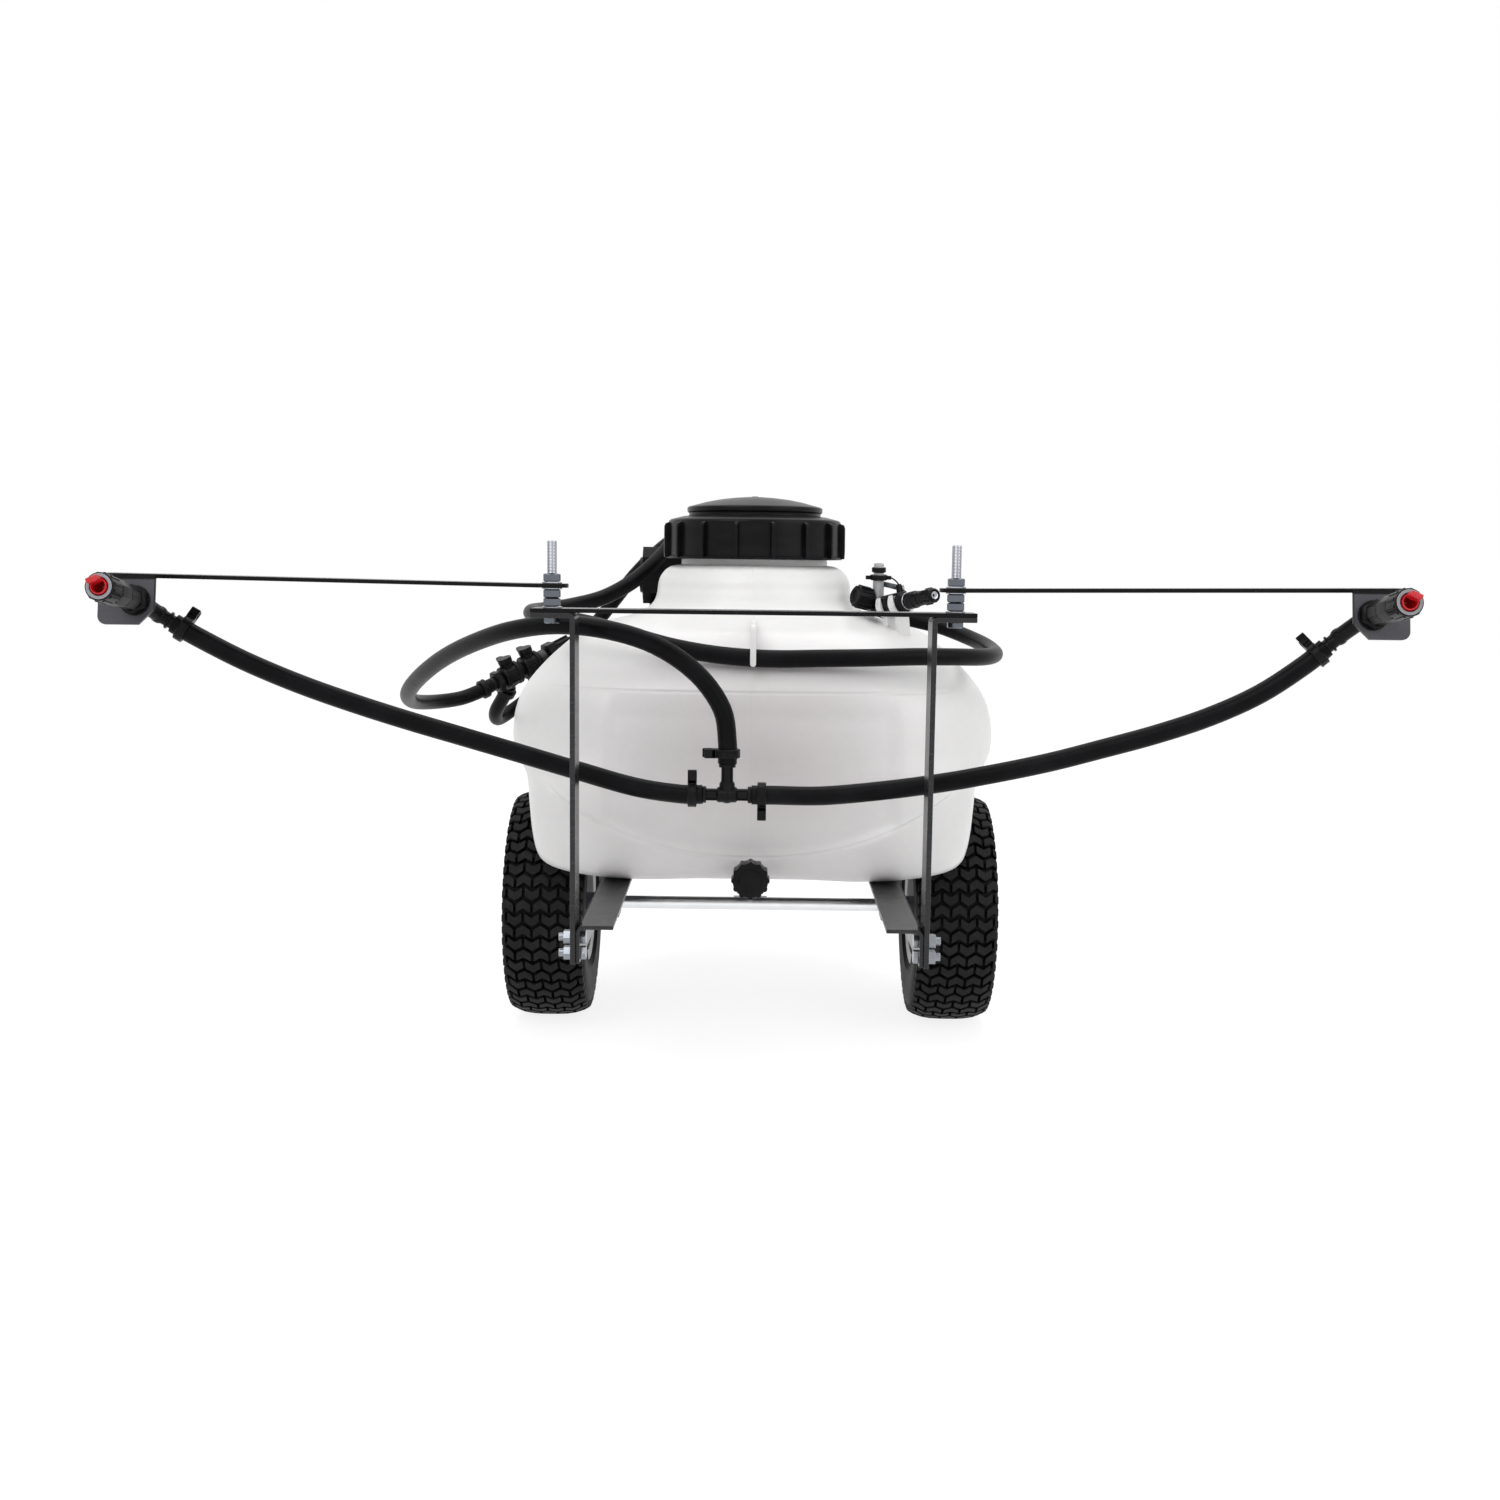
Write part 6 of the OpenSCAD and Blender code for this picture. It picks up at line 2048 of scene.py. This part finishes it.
@dataclass
class SprayGun:
    """The spray gun in its clips: valve body, barrel, tail and adjustable tip."""

    seat: Point = (0.156, -0.074, 0.516)
    yaw: float = -60.0
    rise: float = 9.0
    barrel: float = 0.072
    hinge: tuple[float, float] = (0.029, 0.017)

    def frame(self) -> Matrix:
        """Place the gun, whose +X runs along the barrel towards its tip."""
        seat = Matrix.Translation(from_axle(self.seat))
        return seat @ turned(self.yaw, "Z") @ turned(-self.rise, "Y")

    def strainer(self, stock: Stock) -> None:
        """Add the ribbed strainer cap beside the tail, with the neck that joins them.

        Args:
            stock: The stock of the gun's body.
        """
        tail = self.frame() @ Vector((-0.012, 0, 0.002))
        foot, top = from_axle((0.137, -0.066, 0.5235)), from_axle((0.1155, -0.0775, 0.5290))
        stock.rod(tail, foot, 0.0070)
        place = aimed(foot, top)
        stock.lathe([(0, -0.004), (0.0090, -0.004), (0.0105, -0.002), (0.0125, 0.0),
                     (0.0125, 0.0180), (0.0118, 0.0200), (0.0100, 0.0212), (0.0070, 0.0206),
                     (0.0060, 0.0190), (0, 0.0186)], place, 48)
        for rib in around(place, 12, 0.0124, 0.0094):
            stock.block((0.0030, 0.0026, 0.0180), rib, 0.0008)

    def check_tube(self) -> None:
        """Add the clear tube that stands on the tail, its pinch clamp and its plug's tether."""
        foot, top = from_axle((0.1475, -0.064, 0.5180)), from_axle((0.1475, -0.068, 0.5660))
        way = (top - foot).normalized()
        tube = Stock().lathe([(0.0040, 0.0), (0.0066, 0.0), (0.0068, 0.0010), (0.0068, 0.0290),
                              (0.0060, 0.0310), (0.0060, 0.0470), (0.0056, 0.0480),
                              (0.0040, 0.0480)], aimed(foot, top), 40, looped=True)
        tube.piece("gun_check_tube", "chassis", Coats.CLEAR, slot="black_plastic", crease=35.0)
        middle = foot + way * 0.0285
        clamp = Stock().sleeve(0.0104, 0.00685, 0.0062, aimed(middle, top), 0.0008)
        clamp.sleeve(0.0084, 0.0061, 0.0060, aimed(foot + way * 0.0375, top), 0.0008)
        for turn, reach in ((280, 0.0062), (75, 0.0055)):
            clamp.block((reach, 0.0030, 0.0046), aimed(middle, top) @ turned(turn, "Z")
                        @ shifted(0.0096 + reach / 2, 0, 0.0031), 0.0008)
        start = middle + Vector((0.0138, -0.0036, 0.0032))
        tether = [start + Vector(step) for step in (
            (0, 0, 0), (0.006, -0.002, -0.004), (0.011, -0.004, -0.0105),
            (0.0135, -0.006, -0.0155))]
        clamp.tube(spline(tether, 6), 0.0009, 10)
        hoop = tether[-1] + Vector((0.0016, 0, -0.0036))
        loop = [hoop + 0.0040 * Vector((math.sin(angle), 0, math.cos(angle)))
                for angle in (2 * math.pi * i / 28 for i in range(29))]
        clamp.tube(loop, 0.0006, 8)
        clamp.piece("gun_check_clamp", "chassis", Coats.NYLON, slot="black_plastic", crease=35.0)

    def build(self) -> None:
        """Make the gun."""
        stock, at = Stock(), self.frame()
        lying = at @ turned(90, "Y")
        stock.lathe([(0, -0.0180), (0.0100, -0.0180), (0.0110, -0.0170), (0.0110, -0.0010),
                     (0.0120, 0.0), (0.0125, 0.0010), (0.0125, 0.0125), (0.0116, 0.0135),
                     (0.0116, 0.0150),
                     (0.0125, 0.0160), (0.0125, 0.0260), (0.0125, 0.0375), (0.0118, 0.0388),
                     (0.0104, 0.0396), (0.0098, 0.0420), (0.0086, 0.0440), (0.0084, 0.0500),
                     (0.0100, 0.0508), (0.0100, 0.0545), (0.0092, 0.0552), (0.0092, 0.0568),
                     (0.0100, 0.0576), (0.0100, 0.0612), (0.0090, 0.0620), (0.0088, 0.0700),
                     (0.0080, 0.0718), (0.0050, 0.0720), (0.0050, 0.0766), (0.0046, 0.0770),
                     (0, 0.0770)], lying, 56)
        for rib in around(lying, 14, 0.0110, -0.0090):
            stock.block((0.0014, 0.0018, 0.0120), rib, 0.0004, 1)
        x, z = self.hinge
        stock.block((0.0060, 0.0040, 0.0120), at @ shifted(x, 0, 0.016), 0.0008)
        stock.drum(0.0015, 0.0070, at @ shifted(x, 0, z) @ turned(-90, "X"), 0.0003, 24)
        stock.elbow(at @ Vector((-0.010, 0, 0)), GUN_ROUTE[:2], 0.014, 0.0095,
                    (0.0105, 0.0050, 0.002, 0.0010))
        self.strainer(stock)
        stock.piece("gun_body_moulded", "chassis", Coats.NYLON, ("gun_body",), "black_plastic",
                    35.0)
        band = Stock().sleeve(0.0101, 0.0086, 0.0016, lying @ shifted(0, 0, 0.0462), 0.0003)
        band.piece("gun_band", "chassis", Coats.STEEL, slot="zinc")
        self.check_tube()
        end = lying @ shifted(0, 0, self.barrel)
        tip = Stock().lathe([(0.0051, 0.0003), (0.0078, 0.0003), (0.0085, 0.0012), (0.0085, 0.0050),
                             (0.0078, 0.0058), (0.0078, 0.0074), (0.0085, 0.0082), (0.0085, 0.0228),
                             (0.0079, 0.0250), (0.0068, 0.0262), (0.0058, 0.0262), (0.0054, 0.0254),
                             (0.0052, 0.0190), (0.0030, 0.0190), (0.0030, 0.0090),
                             (0.0051, 0.0070)], end, 48, looped=True)
        for rib in around(end, 8, 0.0086, 0.0150):
            tip.block((0.0022, 0.0026, 0.0120), rib, 0.0007)
        tip.piece("gun_tip_ribbed", "gun_tip", Coats.NYLON, ("gun_tip",), "black_plastic", 35.0)
        disc = Stock().lathe([(0.0013, 0.0190), (0.0050, 0.0190), (0.0050, 0.0246),
                              (0.0044, 0.0254), (0.0026, 0.0250), (0.0013, 0.0238)], end, 40,
                             looped=True)
        disc.piece("gun_orifice", "gun_tip", Coats.STEEL, slot="zinc")


# ---------------------------------------------------------------- the whole cart


class SprayerCart:
    """The whole cart, one sub-assembly after another."""

    def __init__(self) -> None:
        """Load the frame and keep its box."""
        self.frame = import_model()
        self.cad_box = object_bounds()
        self.dresser = NodeDresser(self.frame)

    def build(self) -> None:
        """Build the studio and every sub-assembly."""
        Studio().build()
        HoseSet().build()
        Tank().build()
        for side, name in ((-1, "left"), (1, "right")):
            TurfTyre(side, "wheel_" + name, "tyre_" + name).build()
        ScrewLid().build()
        ClampSet().build()
        BoomTee().build()
        FloodNozzle(-1, BOOM_LEFT_ROUTE[:-3:-1]).build()
        FloodNozzle(1, BOOM_RIGHT_ROUTE[:-3:-1]).build()
        Manifold().build()
        DrainCap().build()
        SprayGun().build()
        self.pivots()
        self.dress()

    def pivots(self) -> None:
        """Build both pivot stacks."""
        bolts, nuts, washers = Stock(), Stock(), Stock()
        for side in (-1, 1):
            PivotStack(side).build(bolts, nuts, washers)
        bolts.piece("pivot_bolts_threaded", "chassis", Coats.STEEL, ("pivot_bolts",), "zinc", 35.0)
        nuts.piece("pivot_nuts_hex", "chassis", Coats.NUTS, ("pivot_nuts",), "zinc", 35.0)
        washers.piece("pivot_washers", "chassis", Coats.STEEL, slot="zinc", crease=35.0)

    def dress(self) -> None:
        """Ease and coat the nodes whose CAD shape is right."""
        plan = {
            Coats.RAIL: ("frame_paint", 0.0006, (
                "rail_left", "rail_right", "upright_left", "upright_right", "axle_brackets",
                "cross_plates", "drawbar", "hitch_clevis", "stand_bracket", "stand_leg",
                "manifold_bracket")),
            Coats.BAR: ("bar_paint", 0.0005, ("crossbar", "arm_left", "arm_right")),
            Coats.ZINC: ("zinc", 0.0003, (
                "tank_bolts", "axle_collars", "frame_bolts", "hitch_bolts", "stand_bolt",
                "upright_bolts", "gun_trigger")),
            Coats.AXLE: ("zinc", 0.0004, ("axle",)),
            Coats.RIM: ("rim_paint", 0.0005, ("rim_left", "rim_right")),
            Coats.NYLON: ("black_plastic", 0.0004, (
                "bushes_left", "bushes_right", "boom_valve_lever", "bypass_valve_lever",
                "pressure_knob", "pump", "pickup_pipe")),
            Coats.TANK: ("tank_plastic", 0.0006, ("hose_hook", "gun_clips")),
        }
        for coat, (slot, width, names) in plan.items():
            for name in names:
                self.dresser.ease(name, coat, slot, width)
        for name in ("lid_gasket", "drain_gasket", "pump_feet"):
            self.dresser.coat(name, Coats.SEAL)


def main() -> None:
    """Build the cart and report each piece."""
    logging.basicConfig(level=logging.INFO, format="%(name)s: %(message)s")
    cart = SprayerCart()
    cart.build()


if __name__ == "__main__":
    main()
